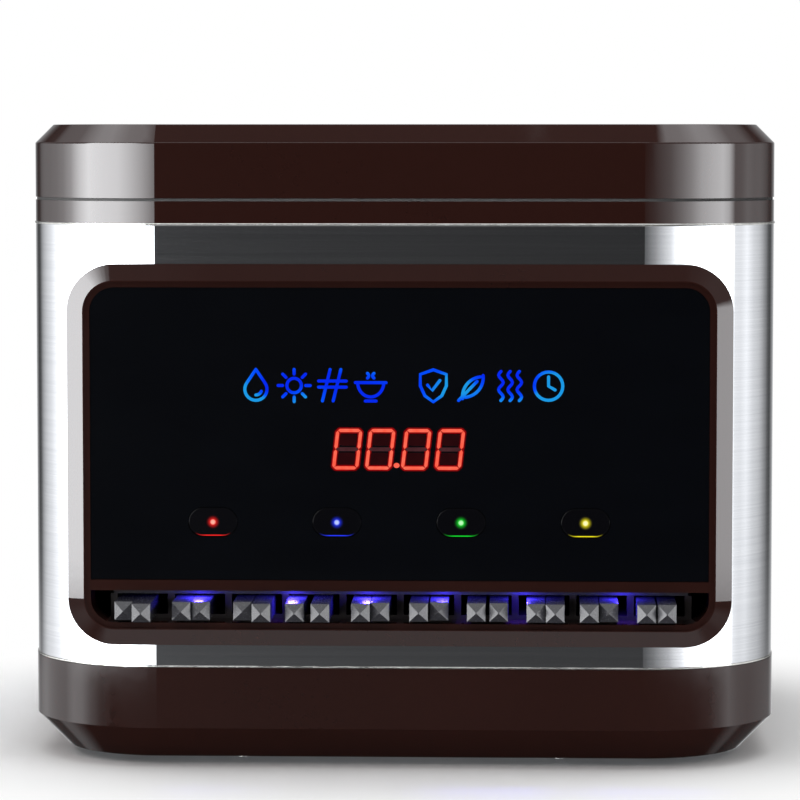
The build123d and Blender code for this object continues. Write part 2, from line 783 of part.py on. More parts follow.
# ---- bezel frame: sloped band with a rebated inner edge, the crossbar, glass ledge and snap hooks ----
board_screw_x = board_width / 2 - board_screw_side
board_screw_places = [(side * board_screw_x, z) for side in (-1, 1)
                      for z in (board_bottom + board_screw_inset, board_top - board_screw_inset)]
hook_places = [(x, bezel_z + side * (cutout_height / 2 - fit_gap + (snap_reach - snap_root) / 2))
               for x in (-snap_pitch, 0.0, snap_pitch) for side in (-1, 1)]
with BuildPart() as bezel_frame:
    with BuildSketch(facing(front_y + bezel_depth)):
        with Locations((0, bezel_z)):
            RectangleRounded(bezel_width, bezel_height, bezel_radius)
    extrude(amount=bezel_depth + bezel_step)
    with BuildSketch(level(bezel_bottom - bezel_step)):
        plan_outline(-bezel_seat_gap)
    extrude(amount=bezel_height + 2 * bezel_step, mode=Mode.SUBTRACT)
    with BuildSketch(facing(front_y - bezel_step)):
        with Locations((0, bezel_z)):
            RectangleRounded(bezel_width, bezel_height, bezel_radius)
    with BuildSketch(facing(crest_y)):
        with Locations((0, bezel_z)):
            RectangleRounded(bezel_width - 2 * bezel_outer_slope, bezel_height - 2 * bezel_outer_slope,
                             bezel_radius - bezel_outer_slope)
    loft(ruled=True)
    with BuildSketch(facing(front_y + bezel_depth)):
        with Locations((0, bezel_z)):
            RectangleRounded(cutout_width - 2 * fit_gap, cutout_height - 2 * fit_gap, cutout_radius - fit_gap)
    extrude(amount=bezel_depth)
    with BuildSketch(facing(glass_front - bezel_lip)):
        with Locations((0, bezel_z)):
            RectangleRounded(opening_width + 2 * bezel_rebate,
                             opening_top - opening_bottom + 2 * bezel_rebate,
                             opening_radius + bezel_rebate)
    extrude(amount=bezel_proud, mode=Mode.SUBTRACT)
    with BuildSketch(facing(glass_back)):
        with Locations((0, bezel_z)):
            RectangleRounded(opening_width, opening_top - opening_bottom, opening_radius)
    extrude(amount=glass_thickness, mode=Mode.SUBTRACT)
    with BuildSketch(facing(front_y + bezel_depth)):
        with Locations((0, bezel_z)):
            RectangleRounded(opening_width, opening_top - opening_bottom, opening_radius)
    extrude(amount=bezel_depth + bezel_proud, mode=Mode.SUBTRACT)
    with BuildSketch(facing(glass_back + ledge_thickness)):
        with Locations((0, (bar_bottom + opening_top) / 2)):
            Rectangle(opening_width, opening_top - bar_bottom)
        with Locations((0, (bar_top + opening_top) / 2)):
            Rectangle(opening_width - 2 * glass_ledge, opening_top - bar_top - 2 * glass_ledge,
                      mode=Mode.SUBTRACT)
    extrude(amount=ledge_thickness)
    with BuildSketch(facing(glass_back)):
        with Locations((0, (bar_bottom + bar_top) / 2)):
            Rectangle(opening_width, bar_top - bar_bottom)
    extrude(amount=glass_thickness + bar_proud)
    with BuildSketch(facing(front_y + bar_back)):
        with Locations((0, (bar_bottom + slot_lamp_height + strip_thickness + bar_top) / 2)):
            Rectangle(opening_width, bar_top - bar_bottom - slot_lamp_height - strip_thickness)
    extrude(amount=bar_back - strip_front)
    with BuildSketch(facing(front_y + strip_front + strip_width)):
        with Locations((0, bar_bottom + (slot_lamp_height + strip_thickness) / 2)):
            Rectangle(opening_width - 2 * strip_end_gap, slot_lamp_height + strip_thickness)
    extrude(amount=strip_width, mode=Mode.SUBTRACT)
    with BuildSketch(facing(board_front)):
        with Locations(*board_screw_places):
            Circle(board_boss_radius)
    extrude(amount=board_front - glass_back - ledge_thickness / 2)
    with BuildSketch(facing(board_front)):
        with Locations(*board_screw_places):
            Circle(board_screw_radius + screw_gap)
    extrude(amount=board_front - glass_back - ledge_thickness / 3, mode=Mode.SUBTRACT)
    with BuildSketch(facing(front_y + steel_sheet + fit_gap + snap_thickness)):
        with Locations(*hook_places):
            Rectangle(snap_length, snap_reach + snap_root)
    extrude(amount=snap_thickness)
save(bezel_frame, "bezel_frame")

# ---- front glass: black panel with four capsule holes for the buttons ----
glass_low = bar_top + fit_gap
glass_high = opening_top - fit_gap
with BuildPart() as front_glass:
    with BuildSketch(facing(glass_back)):
        with Locations((0, bezel_z)):
            RectangleRounded(opening_width - 2 * fit_gap, opening_top - opening_bottom - 2 * fit_gap,
                             opening_radius - fit_gap)
        with Locations((0, (opening_bottom + glass_low) / 2)):
            Rectangle(opening_width, glass_low - opening_bottom, mode=Mode.SUBTRACT)
        with Locations(*[(x, button_z) for x in button_x]):
            SlotOverall(button_length + 2 * button_gap, button_height + 2 * button_gap, mode=Mode.SUBTRACT)
    extrude(amount=glass_thickness)
save(front_glass, "front_glass")

# ---- display board on four bosses, and what it carries ----
with BuildPart() as display_board:
    with BuildSketch(facing(board_front + board_thickness)):
        with Locations((0, (board_bottom + board_top) / 2)):
            Rectangle(board_width, board_top - board_bottom)
        with Locations(*board_screw_places):
            Circle(board_screw_radius + screw_gap, mode=Mode.SUBTRACT)
    extrude(amount=board_thickness)
save(display_board, "display_board")

with BuildPart() as board_screws:
    with BuildSketch(facing(board_front + board_thickness + board_screw_radius)):
        with Locations(*board_screw_places):
            Circle(2 * board_screw_radius)
    extrude(amount=board_screw_radius)
    with BuildSketch(facing(board_front + board_thickness)):
        with Locations(*board_screw_places):
            Circle(board_screw_radius)
    extrude(amount=board_thickness + board_screw_grip)
save(board_screws, "board_screws")

with BuildPart() as digit_display:
    with BuildSketch(facing(board_front)):
        with Locations((0, display_z)):
            Rectangle(display_width, display_height)
    extrude(amount=board_front - glass_back - panel_air)
save(digit_display, "digit_display")

with BuildPart() as sign_backlight:
    with BuildSketch(facing(board_front)):
        with Locations((0, sign_z)):
            RectangleRounded(sign_width, sign_height, soft_corner)
    extrude(amount=board_front - glass_back - panel_air)
save(sign_backlight, "sign_backlight")

flange_back = glass_back + button_flange_thickness
lamp_front = flange_back + button_travel + fit_gap
with BuildPart() as button_lamps:
    with BuildSketch(facing(board_front)):
        with Locations(*[(x, button_z) for x in button_x]):
            Circle(button_lamp_radius)
    extrude(amount=board_front - lamp_front)
save(button_lamps, "button_lamps")

plunger_front = board_front - key_switch_depth - key_plunger_length
with BuildPart() as key_switches:
    with BuildSketch(facing(board_front)):
        with Locations(*[(x + button_stem_offset, button_z) for x in button_x]):
            Rectangle(key_switch_side, key_switch_side)
    extrude(amount=key_switch_depth)
    with BuildSketch(facing(board_front - key_switch_depth)):
        with Locations(*[(x + button_stem_offset, button_z) for x in button_x]):
            Circle(key_plunger_radius)
    extrude(amount=key_plunger_length)
save(key_switches, "key_switches")

# ---- four capsule buttons, each held by its flange behind the glass ----
button_names = ["power_button", "sterilise_button", "dispense_button", "repeat_button"]
stem_end = plunger_front - button_travel - key_rest_gap
key_front = glass_front - button_proud
for name, x in zip(button_names, button_x):
    with BuildPart() as button:
        with BuildSketch(facing(flange_back)):
            with Locations((x, button_z)):
                SlotOverall(button_length + 2 * button_flange, button_height + 2 * button_flange)
        extrude(amount=button_flange_thickness)
        with BuildSketch(facing(glass_back)):
            with Locations((x, button_z)):
                SlotOverall(button_length, button_height)
        extrude(amount=glass_thickness + button_proud)
        fillet(button.edges().filter_by_position(Axis.Y, key_front, key_front), button_proud)
        with BuildSketch(facing(stem_end)):
            with Locations((x + button_stem_offset, button_z)):
                Circle(button_stem_radius)
        extrude(amount=stem_end - flange_back)
    save(button, name)

# ---- blue lamp strip under the crossbar's shelf ----
strip_z = bar_bottom + slot_lamp_height
with BuildPart() as lamp_strip:
    with BuildSketch(level(strip_z)):
        with Locations((0, front_y + strip_front + strip_width / 2)):
            Rectangle(opening_width - 2 * (strip_end_gap + fit_gap), strip_width - 2 * fit_gap)
    extrude(amount=strip_thickness)
    with BuildSketch(level(bar_bottom)):
        with Locations(*[(x, front_y + strip_front + strip_width / 2) for x in slot_lamp_x]):
            Rectangle(slot_lamp_width, slot_lamp_length)
    extrude(amount=slot_lamp_height)
save(lamp_strip, "lamp_strip")

# ---- channel tray: floor with ten channels, finger slots at the rear, legs and the rods' lugs ----
slot_front = home_y - pusher_travel - stem_gap
slot_rear = home_y + head_length + stem_gap
slot_length = slot_rear - slot_front
tray_length = tray_rear - tray_front
tray_y = tray_front + tray_length / 2
tray_leg_x = tray_width / 2 - tray_leg_from_edge
front_lug_y = slot_front - comb_length / 2 - rod_lug_length / 2
rear_lug_length = tray_rear - (comb_y + comb_length / 2) - pusher_stop_gap
lug_places = [(side * rod_x, front_lug_y) for side in (-1, 1)]
with BuildPart() as channel_tray:
    with BuildSketch(level(tray_under)):
        with Locations((0, tray_y)):
            Rectangle(tray_width, tray_length)
        with Locations(*[(x, (slot_front + slot_rear) / 2) for x in channel_x]):
            Rectangle(stem_width + 2 * stem_gap, slot_length, mode=Mode.SUBTRACT)
        with Locations(*[(x, fan_centre_y) for x in channel_x[3:7]]):
            SlotOverall(vent_length, vent_width, rotation=90, mode=Mode.SUBTRACT)
    extrude(amount=tray_floor)
    with BuildSketch(level(tray_top)):
        with Locations(*[(x, tray_y) for x in wall_x]):
            Rectangle(channel_wall, tray_length)
    extrude(amount=channel_top - tray_top)
    with BuildSketch(level(plate_top)):
        with Locations(*[(side * tray_leg_x, y) for side in (-1, 1)
                         for y in (front_y + tray_leg_front, rear_y - tray_leg_rear)]):
            Rectangle(tray_leg_side, tray_leg_side)
    extrude(amount=tray_under - plate_top)
    with BuildSketch(level(tray_under - rod_lug_drop)):
        with Locations(*lug_places):
            Rectangle(rod_lug_width, rod_lug_length)
        with Locations(*[(side * rod_x, tray_rear - rear_lug_length / 2) for side in (-1, 1)]):
            Rectangle(rod_lug_width, rear_lug_length)
    extrude(amount=rod_lug_drop)
    with BuildSketch(facing(tray_rear)):
        with Locations((-rod_x, rod_z), (rod_x, rod_z)):
            Circle(rod_radius + running_gap / 2)
    extrude(amount=tray_rear - front_lug_y + rod_lug_length, mode=Mode.SUBTRACT)
save(channel_tray, "channel_tray")

with BuildPart() as guide_rods:
    with BuildSketch(facing(tray_rear)):
        with Locations((-rod_x, rod_z), (rod_x, rod_z)):
            Circle(rod_radius)
    extrude(amount=tray_rear - front_lug_y + rod_lug_length / 2)
save(guide_rods, "guide_rods")

# ---- hopper bin: open box that stands on the channel walls and hangs its rim in the collar ----
with BuildPart() as hopper_bin:
    with BuildSketch(level(channel_top)):
        with Locations((0, bin_y)):
            Rectangle(2 * (bin_half_width + bin_wall), bin_length + 2 * bin_wall)
    extrude(amount=collar_top - channel_top)
    with BuildSketch(level(collar_top - bin_flange_thickness)):
        with Locations((0, bin_y)):
            RectangleRounded(2 * (bin_half_width + bin_wall + bin_flange),
                             bin_length + 2 * (bin_wall + bin_flange), bin_flange_radius)
    extrude(amount=bin_flange_thickness)
    with BuildSketch(level(channel_top)):
        with Locations((0, bin_y)):
            Rectangle(2 * bin_half_width, bin_length)
    extrude(amount=collar_top - channel_top, mode=Mode.SUBTRACT)
save(hopper_bin, "hopper_bin")

# ---- pusher comb: one bar under the tray with a head in every channel ----
with BuildPart() as pusher_comb:
    with BuildSketch(level(comb_bottom)):
        with Locations((0, comb_y)):
            Rectangle(2 * comb_half_width, comb_length)
    extrude(amount=comb_height)
    with BuildSketch(level(comb_top)):
        with Locations(*[(x, comb_y) for x in channel_x]):
            Rectangle(stem_width, head_length)
    extrude(amount=tray_top + head_gap - comb_top)
    with BuildSketch(level(tray_top + head_gap)):
        with Locations(*[(x, comb_y) for x in channel_x]):
            Rectangle(head_width, head_length)
    extrude(amount=head_height)
    with BuildSketch(facing(comb_y + comb_length / 2)):
        with Locations((-rod_x, rod_z), (rod_x, rod_z)):
            Circle(rod_radius + running_gap)
    extrude(amount=comb_length, mode=Mode.SUBTRACT)
save(pusher_comb, "pusher_comb")

# ---- rack under the comb: straight-sided teeth, a space centred over the pinion ----
tooth_pitch = math.pi * gear_module
half_tooth = tooth_pitch / 4 - gear_backlash / 2
flank = math.tan(math.radians(pressure_angle))
first_tooth = math.ceil((rack_front + tooth_pitch / 2 - gear_y) / tooth_pitch - 0.5)
last_tooth = math.floor((rack_rear - tooth_pitch / 2 - gear_y) / tooth_pitch - 0.5)
with BuildPart() as pusher_rack:
    with BuildSketch(level(rack_root_z)):
        with Locations((0, (rack_front + rack_rear) / 2)):
            Rectangle(gear_width, rack_rear - rack_front)
    extrude(amount=rack_web)
    with BuildSketch(Plane.YZ.offset(-gear_width / 2)):
        for number in range(first_tooth, last_tooth + 1):
            centre = gear_y + (number + 0.5) * tooth_pitch
            at_root = half_tooth + 1.25 * gear_module * flank
            at_tip = half_tooth - gear_module * flank
            with BuildLine():
                Polyline((centre - at_root, rack_root_z), (centre + at_root, rack_root_z),
                         (centre + at_tip, pitch_line_z - gear_module),
                         (centre - at_tip, pitch_line_z - gear_module), close=True)
            make_face()
    extrude(amount=gear_width)
save(pusher_rack, "pusher_rack")


def involute_point(radius, tooth_angle, side):
    """Point of a tooth's flank at a radius, with the tooth's middle at tooth_angle."""
    base_radius = pitch_radius * math.cos(math.radians(pressure_angle))
    roll = math.sqrt(max(0.0, (radius / base_radius) ** 2 - 1))
    at_pitch = math.tan(math.radians(pressure_angle)) - math.radians(pressure_angle)
    half_angle = (math.pi / 2 - gear_backlash / (2 * gear_module)) / pinion_teeth
    angle = tooth_angle + side * (half_angle + at_pitch - (roll - math.atan(roll)))
    return (gear_y + radius * math.cos(angle), pinion_z + radius * math.sin(angle))


# ---- drive pinion: involute teeth, one of them straight up at rest ----
with BuildPart() as drive_pinion:
    root_radius = pitch_radius - 1.25 * gear_module
    tip_radius = pitch_radius + gear_module
    flank_radii = [root_radius, pitch_radius * math.cos(math.radians(pressure_angle)), pitch_radius - 0.25,
                   pitch_radius, pitch_radius + 0.5 * gear_module, tip_radius]
    with BuildSketch(Plane.YZ.offset(-gear_width / 2)):
        outline = []
        for number in range(pinion_teeth):
            middle = math.pi / 2 - 2 * math.pi * number / pinion_teeth
            outline += [involute_point(radius, middle, 1) for radius in flank_radii]
            outline += [involute_point(radius, middle, -1) for radius in reversed(flank_radii)]
        with BuildLine():
            Polyline(*outline, close=True)
        make_face()
        with Locations((gear_y, pinion_z)):
            Circle(shaft_radius + running_gap / 2, mode=Mode.SUBTRACT)
    extrude(amount=gear_width)
save(drive_pinion, "drive_pinion")

motor_x = bracket_x + bracket_thickness
with BuildPart() as motor_shaft:
    with BuildSketch(Plane.YZ.offset(-gear_width / 2 - shaft_tail)):
        with Locations((gear_y, pinion_z)):
            Circle(shaft_radius)
    extrude(amount=gear_width / 2 + shaft_tail + motor_x + shaft_hold)
save(motor_shaft, "motor_shaft")

# ---- gear motor and the bracket that stands it on the bottom plate ----
screw_spots = [(gear_y + side * motor_screw_spread, pinion_z) for side in (-1, 1)]
with BuildPart() as gear_motor:
    with BuildSketch(Plane.YZ.offset(motor_x)):
        with Locations((gear_y, pinion_z)):
            Circle(gearbox_radius)
    extrude(amount=gearbox_length)
    with BuildSketch(Plane.YZ.offset(motor_x + gearbox_length)):
        with Locations((gear_y, pinion_z)):
            Circle(motor_radius)
    extrude(amount=motor_length)
    with BuildSketch(Plane.YZ.offset(motor_x)):
        with Locations((gear_y, pinion_z)):
            Circle(shaft_radius + running_gap)
    extrude(amount=shaft_hold + running_gap, mode=Mode.SUBTRACT)
    with BuildSketch(Plane.YZ.offset(motor_x)):
        with Locations(*screw_spots):
            Circle(motor_screw_radius + screw_gap)
    extrude(amount=shaft_hold / 2, mode=Mode.SUBTRACT)
save(gear_motor, "gear_motor")

with BuildPart() as motor_bracket:
    with BuildSketch(Plane.YZ.offset(bracket_x)):
        with Locations((gear_y, (plate_top + comb_bottom - bracket_gap) / 2)):
            Rectangle(2 * bracket_half_width, comb_bottom - bracket_gap - plate_top)
        with Locations((gear_y, pinion_z)):
            Circle(shaft_radius + bracket_bore_gap, mode=Mode.SUBTRACT)
        with Locations(*screw_spots):
            Circle(motor_screw_radius + screw_gap, mode=Mode.SUBTRACT)
    extrude(amount=bracket_thickness)
    with BuildSketch(level(plate_top)):
        with Locations((bracket_x + bracket_foot / 2, gear_y)):
            Rectangle(bracket_foot, 2 * bracket_half_width)
    extrude(amount=bracket_thickness)
save(motor_bracket, "motor_bracket")

with BuildPart() as motor_screws:
    with BuildSketch(Plane.YZ.offset(bracket_x - motor_screw_radius)):
        with Locations(*screw_spots):
            Circle(2 * motor_screw_radius)
    extrude(amount=motor_screw_radius)
    with BuildSketch(Plane.YZ.offset(bracket_x)):
        with Locations(*screw_spots):
            Circle(motor_screw_radius)
    extrude(amount=bracket_thickness + motor_screw_grip)
save(motor_screws, "motor_screws")

# ---- chopstick pairs: square heads with pyramid points, tapering towards the eating end ----
for number in range(channel_count):
    with BuildPart() as pair:
        for offset, ahead in stick_places[number]:
            x = channel_x[number] + offset
            point_y = crest_y - ahead
            with BuildSketch(facing(point_y + stick_point)):
                with Locations((x, stick_z)):
                    Rectangle(stick_side, stick_side)
            with BuildSketch(facing(point_y)):
                with Locations((x, stick_z)):
                    Rectangle(stick_tip_side, stick_tip_side)
            loft(ruled=True)
            with BuildSketch(facing(point_y + stick_point + stick_square_length)):
                with Locations((x, stick_z)):
                    Rectangle(stick_side, stick_side)
            extrude(amount=stick_square_length)
            with BuildSketch(facing(point_y + stick_length)):
                with Locations((x, stick_z)):
                    Rectangle(stick_end_side, stick_end_side)
            with BuildSketch(facing(point_y + stick_point + stick_square_length)):
                with Locations((x, stick_z)):
                    Rectangle(stick_side, stick_side)
            loft(ruled=True)
    save(pair, "chopstick_pair_" + str(number + 1).zfill(2))

# ---- fan: frame over the plate's slots, rotor on its axle ----
with BuildPart() as fan_housing:
    with BuildSketch(level(plate_top)):
        with Locations((0, fan_centre_y)):
            RectangleRounded(fan_side, fan_side, 1.5 * soft_corner)
            Circle(fan_bore_radius, mode=Mode.SUBTRACT)
    extrude(amount=fan_height)
    with BuildSketch(level(plate_top)):
        with Locations((0, fan_centre_y)):
            Circle(fan_disc_radius)
            Rectangle(2 * (fan_bore_radius + fan_strut_root), fan_strut)
            Rectangle(fan_strut, 2 * (fan_bore_radius + fan_strut_root))
            Circle(fan_axle_radius + running_gap, mode=Mode.SUBTRACT)
    extrude(amount=fan_disc_thickness)
save(fan_housing, "fan_housing")

rotor_z = plate_top + fan_disc_thickness + fan_rotor_gap
rotor_height = fan_height - fan_disc_thickness - 3 * fan_rotor_gap
blade_span = fan_bore_radius - fan_blade_gap - fan_hub_radius + fan_blade_root
with BuildPart() as fan_rotor:
    with BuildSketch(level(rotor_z)):
        with Locations((0, fan_centre_y)):
            Circle(fan_hub_radius)
    extrude(amount=rotor_height)
    with Locations((0, fan_centre_y, rotor_z + rotor_height / 2)):
        with PolarLocations(fan_hub_radius - fan_blade_root + blade_span / 2, fan_blade_count):
            Box(blade_span, fan_blade_chord, fan_blade_thickness, rotation=(fan_blade_pitch, 0, 0))
    with BuildSketch(level(plate_top + running_gap)):
        with Locations((0, fan_centre_y)):
            Circle(fan_axle_radius)
    extrude(amount=rotor_z - plate_top)
save(fan_rotor, "fan_rotor")

# ---- air duct from the fan up to the tray, with the finned heater inside it ----
with BuildPart() as air_duct:
    with BuildSketch(level(duct_z)):
        with Locations((0, fan_centre_y)):
            Rectangle(heater_side + 2 * (duct_wall + fit_gap), heater_side + 2 * (duct_wall + fit_gap))
            Rectangle(heater_side + 2 * fit_gap, heater_side + 2 * fit_gap, mode=Mode.SUBTRACT)
    extrude(amount=tray_under - duct_z)
save(air_duct, "air_duct")

heater_z = duct_z + heater_lift
fin_count = int((heater_side - 2 * heater_fin) / heater_fin_pitch)
with BuildPart() as heater:
    with BuildSketch(level(heater_z)):
        with Locations((0, fan_centre_y)):
            Rectangle(heater_side, heater_side)
            Rectangle(heater_side - 4 * heater_fin, heater_side - 4 * heater_fin, mode=Mode.SUBTRACT)
            with GridLocations(heater_fin_pitch, 1, fin_count, 1):
                Rectangle(heater_fin, heater_side - heater_fin)
            Rectangle(heater_side - heater_fin, 3 * heater_fin)
    extrude(amount=heater_height)
save(heater, "heater")

# ---- ozone generator: potted block with its ceramic plate on top ----
with BuildPart() as ozone_generator:
    with BuildSketch(level(plate_top)):
        with Locations((ozone_x, front_y + ozone_y)):
            RectangleRounded(ozone_width, ozone_length, soft_corner)
    extrude(amount=ozone_height)
    with BuildSketch(level(plate_top + ozone_height)):
        with Locations((ozone_x, front_y + ozone_y)):
            Rectangle(ozone_width / 2, ozone_length / 2)
    extrude(amount=ozone_plate)
save(ozone_generator, "ozone_generator")

# ---- power board on four pillars, and its transformer ----
board_centre = (power_board_x, front_y + power_board_y)
power_board_z = plate_top + power_board_lift
transformer_y = board_centre[1] + power_board_length / 2 - transformer_length / 2 - transformer_from_edge
with BuildPart() as power_board:
    with BuildSketch(level(power_board_z)):
        with Locations(board_centre):
            Rectangle(power_board_width, power_board_length)
    extrude(amount=board_thickness)
    with BuildSketch(level(plate_top)):
        with Locations(board_centre):
            with GridLocations(power_board_width - 2 * pillar_inset,
                               power_board_length - 2 * pillar_inset, 2, 2):
                Circle(pillar_radius)
    extrude(amount=power_board_lift)
    with BuildSketch(level(power_board_z + board_thickness)):
        for x, y, radius in capacitors:
            with Locations((board_centre[0] + x, board_centre[1] + y)):
                Circle(radius)
    extrude(amount=capacitor_height)
    with BuildSketch(level(power_board_z + board_thickness)):
        for x, y, across, along in relays:
            with Locations((board_centre[0] + x, board_centre[1] + y)):
                Rectangle(across, along)
    extrude(amount=relay_height)
save(power_board, "power_board")

with BuildPart() as transformer:
    core_width = transformer_width / 4
    with BuildSketch(level(power_board_z + board_thickness)):
        with Locations((power_board_x, transformer_y)):
            Rectangle(transformer_width, transformer_length / 2)
    extrude(amount=transformer_height)
    with BuildSketch(level(power_board_z + board_thickness + core_width / 2)):
        with Locations((power_board_x, transformer_y)):
            RectangleRounded(transformer_width - core_width, transformer_length, 1.5 * soft_corner)
    extrude(amount=transformer_height - core_width)
save(transformer, "transformer")

# ---- power inlet in the base's rear wall ----
flange_front = rear_y + base_proud
with BuildPart() as power_inlet:
    with BuildSketch(facing(flange_front + inlet_flange_thickness)):
        with Locations((inlet_x, inlet_z)):
            RectangleRounded(inlet_flange_width, inlet_flange_height, soft_corner)
    extrude(amount=inlet_flange_thickness)
    with BuildSketch(facing(flange_front)):
        with Locations((inlet_x, inlet_z)):
            Rectangle(inlet_width, inlet_height)
    extrude(amount=inlet_depth)
    with BuildSketch(facing(flange_front + inlet_flange_thickness)):
        with Locations((inlet_x, inlet_z)):
            RectangleRounded(inlet_socket_width, inlet_socket_height, soft_corner)
    extrude(amount=inlet_socket_depth, mode=Mode.SUBTRACT)
    with BuildSketch(facing(flange_front + inlet_flange_thickness - inlet_socket_depth + inlet_pin_length)):
        with Locations((inlet_x - inlet_pin_pitch, inlet_z - inlet_pin_rise),
                       (inlet_x + inlet_pin_pitch, inlet_z - inlet_pin_rise),
                       (inlet_x, inlet_z + inlet_pin_rise)):
            Rectangle(inlet_pin_width, inlet_pin_height)
    extrude(amount=inlet_pin_length)
save(power_inlet, "power_inlet")
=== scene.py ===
import math

import bpy
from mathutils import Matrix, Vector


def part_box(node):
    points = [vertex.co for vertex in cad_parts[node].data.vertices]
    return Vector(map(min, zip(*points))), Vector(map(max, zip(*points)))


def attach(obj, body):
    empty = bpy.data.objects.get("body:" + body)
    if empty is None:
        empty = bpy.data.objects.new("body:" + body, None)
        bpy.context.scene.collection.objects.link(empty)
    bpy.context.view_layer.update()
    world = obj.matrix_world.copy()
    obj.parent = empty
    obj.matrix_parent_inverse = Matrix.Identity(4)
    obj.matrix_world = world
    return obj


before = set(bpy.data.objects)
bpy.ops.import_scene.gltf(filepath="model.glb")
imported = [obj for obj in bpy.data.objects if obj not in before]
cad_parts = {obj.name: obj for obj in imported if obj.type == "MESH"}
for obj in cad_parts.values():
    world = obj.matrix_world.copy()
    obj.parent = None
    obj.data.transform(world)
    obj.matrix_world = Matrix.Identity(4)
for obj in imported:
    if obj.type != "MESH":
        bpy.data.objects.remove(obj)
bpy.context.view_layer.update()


# ---- Brown mouldings ----------------------------------------------------------------
# Lid cover, collar, base housing and bezel are injection-moulded ABS in one dark brown, polished in
# the mould. Collar and base clamp the steel between them, and the bezel snaps into its front opening.
# The channel tray inside is the same plastic from a plainer tool, so it is less glossy.

class Wire:
    """One output of a shader node. Arithmetic on it adds Math nodes."""

    def __init__(self, tree, socket):
        self.tree = tree
        self.socket = socket

    def sums(self, operation, first, second):
        return Recipe(self.tree).add("Math", {"operation": operation}, {0: first, 1: second})

    def __add__(self, other):
        return self.sums("ADD", self, other)

    def __mul__(self, other):
        return self.sums("MULTIPLY", self, other)

    def __pow__(self, other):
        return self.sums("POWER", self, other)

    def __gt__(self, other):
        return self.sums("GREATER_THAN", self, other)

    __radd__ = __add__
    __rmul__ = __mul__


class Recipe:
    """A node tree in the making."""

    def __init__(self, tree):
        self.tree = tree

    def fill(self, node, sockets):
        """Gives sockets of a node their values or links."""
        for name, value in sockets.items():
            if isinstance(value, Wire):
                self.tree.links.new(value.socket, node.inputs[name])
            else:
                node.inputs[name].default_value = value

    def add(self, kind, settings, sockets, output=0):
        """Adds a node, sets it up, fills its sockets and gives one of its outputs."""
        node = self.tree.nodes.new("ShaderNode" + kind)
        for name, value in settings.items():
            if name == "stops":
                ramp = node.color_ramp.elements
                while len(ramp) < len(value):
                    ramp.new(1.0)
                for stop, (place, colour) in zip(ramp, value):
                    stop.position = place
                    stop.color = colour
            else:
                setattr(node, name, value)
        self.fill(node, sockets)
        return Wire(self.tree, node.outputs[output])

    def blend(self, share, first, second):
        """The first colour where share is 0 and the second where it is 1."""
        return self.add("Mix", {"data_type": "RGBA"}, {0: share, 6: first, 7: second}, 2)

    def surface(self, shader):
        """Sends a shader to the material's surface."""
        self.fill(self.tree.nodes["Material Output"], {"Surface": shader})


class Finish(Recipe):
    """A material in the making, with its one shader and the object's own coordinates in metres."""

    def __init__(self, name, **fixed):
        self.material = bpy.data.materials.new(name)
        self.material.use_nodes = True
        super().__init__(self.material.node_tree)
        self.shader = self.tree.nodes["Principled BSDF"]
        self.feed(**fixed)
        self.place = self.add("TexCoord", {}, {}, "Object")

    def feed(self, **sockets):
        self.fill(self.shader, {name.replace("_", " "): value for name, value in sockets.items()})

    def noise(self, scale, detail, stretch=(1.0, 1.0, 1.0)):
        spot = self.add("Mapping", {}, {"Vector": self.place, "Scale": stretch})
        return self.add("TexNoise", {}, {"Vector": spot, "Scale": scale, "Detail": detail})

    def emboss(self, height, strength, depth):
        self.feed(Normal=self.add("Bump", {}, {"Height": height, "Strength": strength, "Distance": depth}))


def paint(red, green, blue):
    """The shader's colour for one written as 0-255 levels on a screen."""
    levels = [level / 255 for level in (red, green, blue)]
    return (*[c / 12.92 if c <= 0.04045 else ((c + 0.055) / 1.055) ** 2.4 for c in levels], 1.0)


def dress(finish, *names):
    """Gives these CAD nodes the finish."""
    for name in names:
        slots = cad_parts[name].data.materials
        for number in range(len(slots)):
            slots[number] = finish.material


def moulded(name, dark, light, gloss, grain, relief, **fixed):
    """Plastic out of a mould: a faint drift of tone, a little uneven gloss and a fine surface grain."""
    plastic = Finish(name, **fixed)
    drift = plastic.noise(scale=11.0, detail=4.0)
    speckle = plastic.noise(scale=grain, detail=2.0)
    plastic.feed(Base_Color=plastic.blend(drift * 0.7 + speckle * 0.3, dark, light),
                 Roughness=gloss + drift * 0.03 + speckle * 0.02)
    plastic.emboss(speckle, strength=relief, depth=0.0002)
    return plastic


gloss_brown = moulded("gloss_brown_abs", paint(42, 20, 16), paint(52, 26, 21),
                      gloss=0.02, grain=260.0, relief=0.012)
dress(gloss_brown, "lid_cover", "collar", "base_housing", "bezel_frame")
tray_brown = moulded("tray_brown_abs", paint(20, 12, 11), paint(27, 16, 14),
                     gloss=0.42, grain=700.0, relief=0.15, Specular_IOR_Level=0.2)
dress(tray_brown, "channel_tray")


# ---- Steel shell --------------------------------------------------------------------
# One strip of stainless sheet bent round the four corners and closed at the back. It is brushed along
# its length, so the grain runs level round the body and spreads highlights upwards and downwards.

brushed = Finish("brushed_stainless", Metallic=1.0, Anisotropic=1.0, Anisotropic_Rotation=0.25)
fine_lines = brushed.noise(scale=1.0, detail=4.0, stretch=(9.0, 9.0, 3100.0))
long_lines = brushed.noise(scale=1.0, detail=2.0, stretch=(4.0, 4.0, 620.0))
lines = fine_lines * 0.6 + long_lines * 0.4
brushed.feed(Base_Color=brushed.blend(lines, paint(186, 188, 192), paint(228, 229, 231)),
             Roughness=0.10 + lines * 0.05)
brushed.emboss(lines, strength=0.10, depth=0.00006)
dress(brushed, "steel_shell")


# ---- Shell hems ---------------------------------------------------------------------
# The sheet's upper and lower edges are rolled over where the collar and the base grip it, and show as
# two thin bright beads of bare metal.

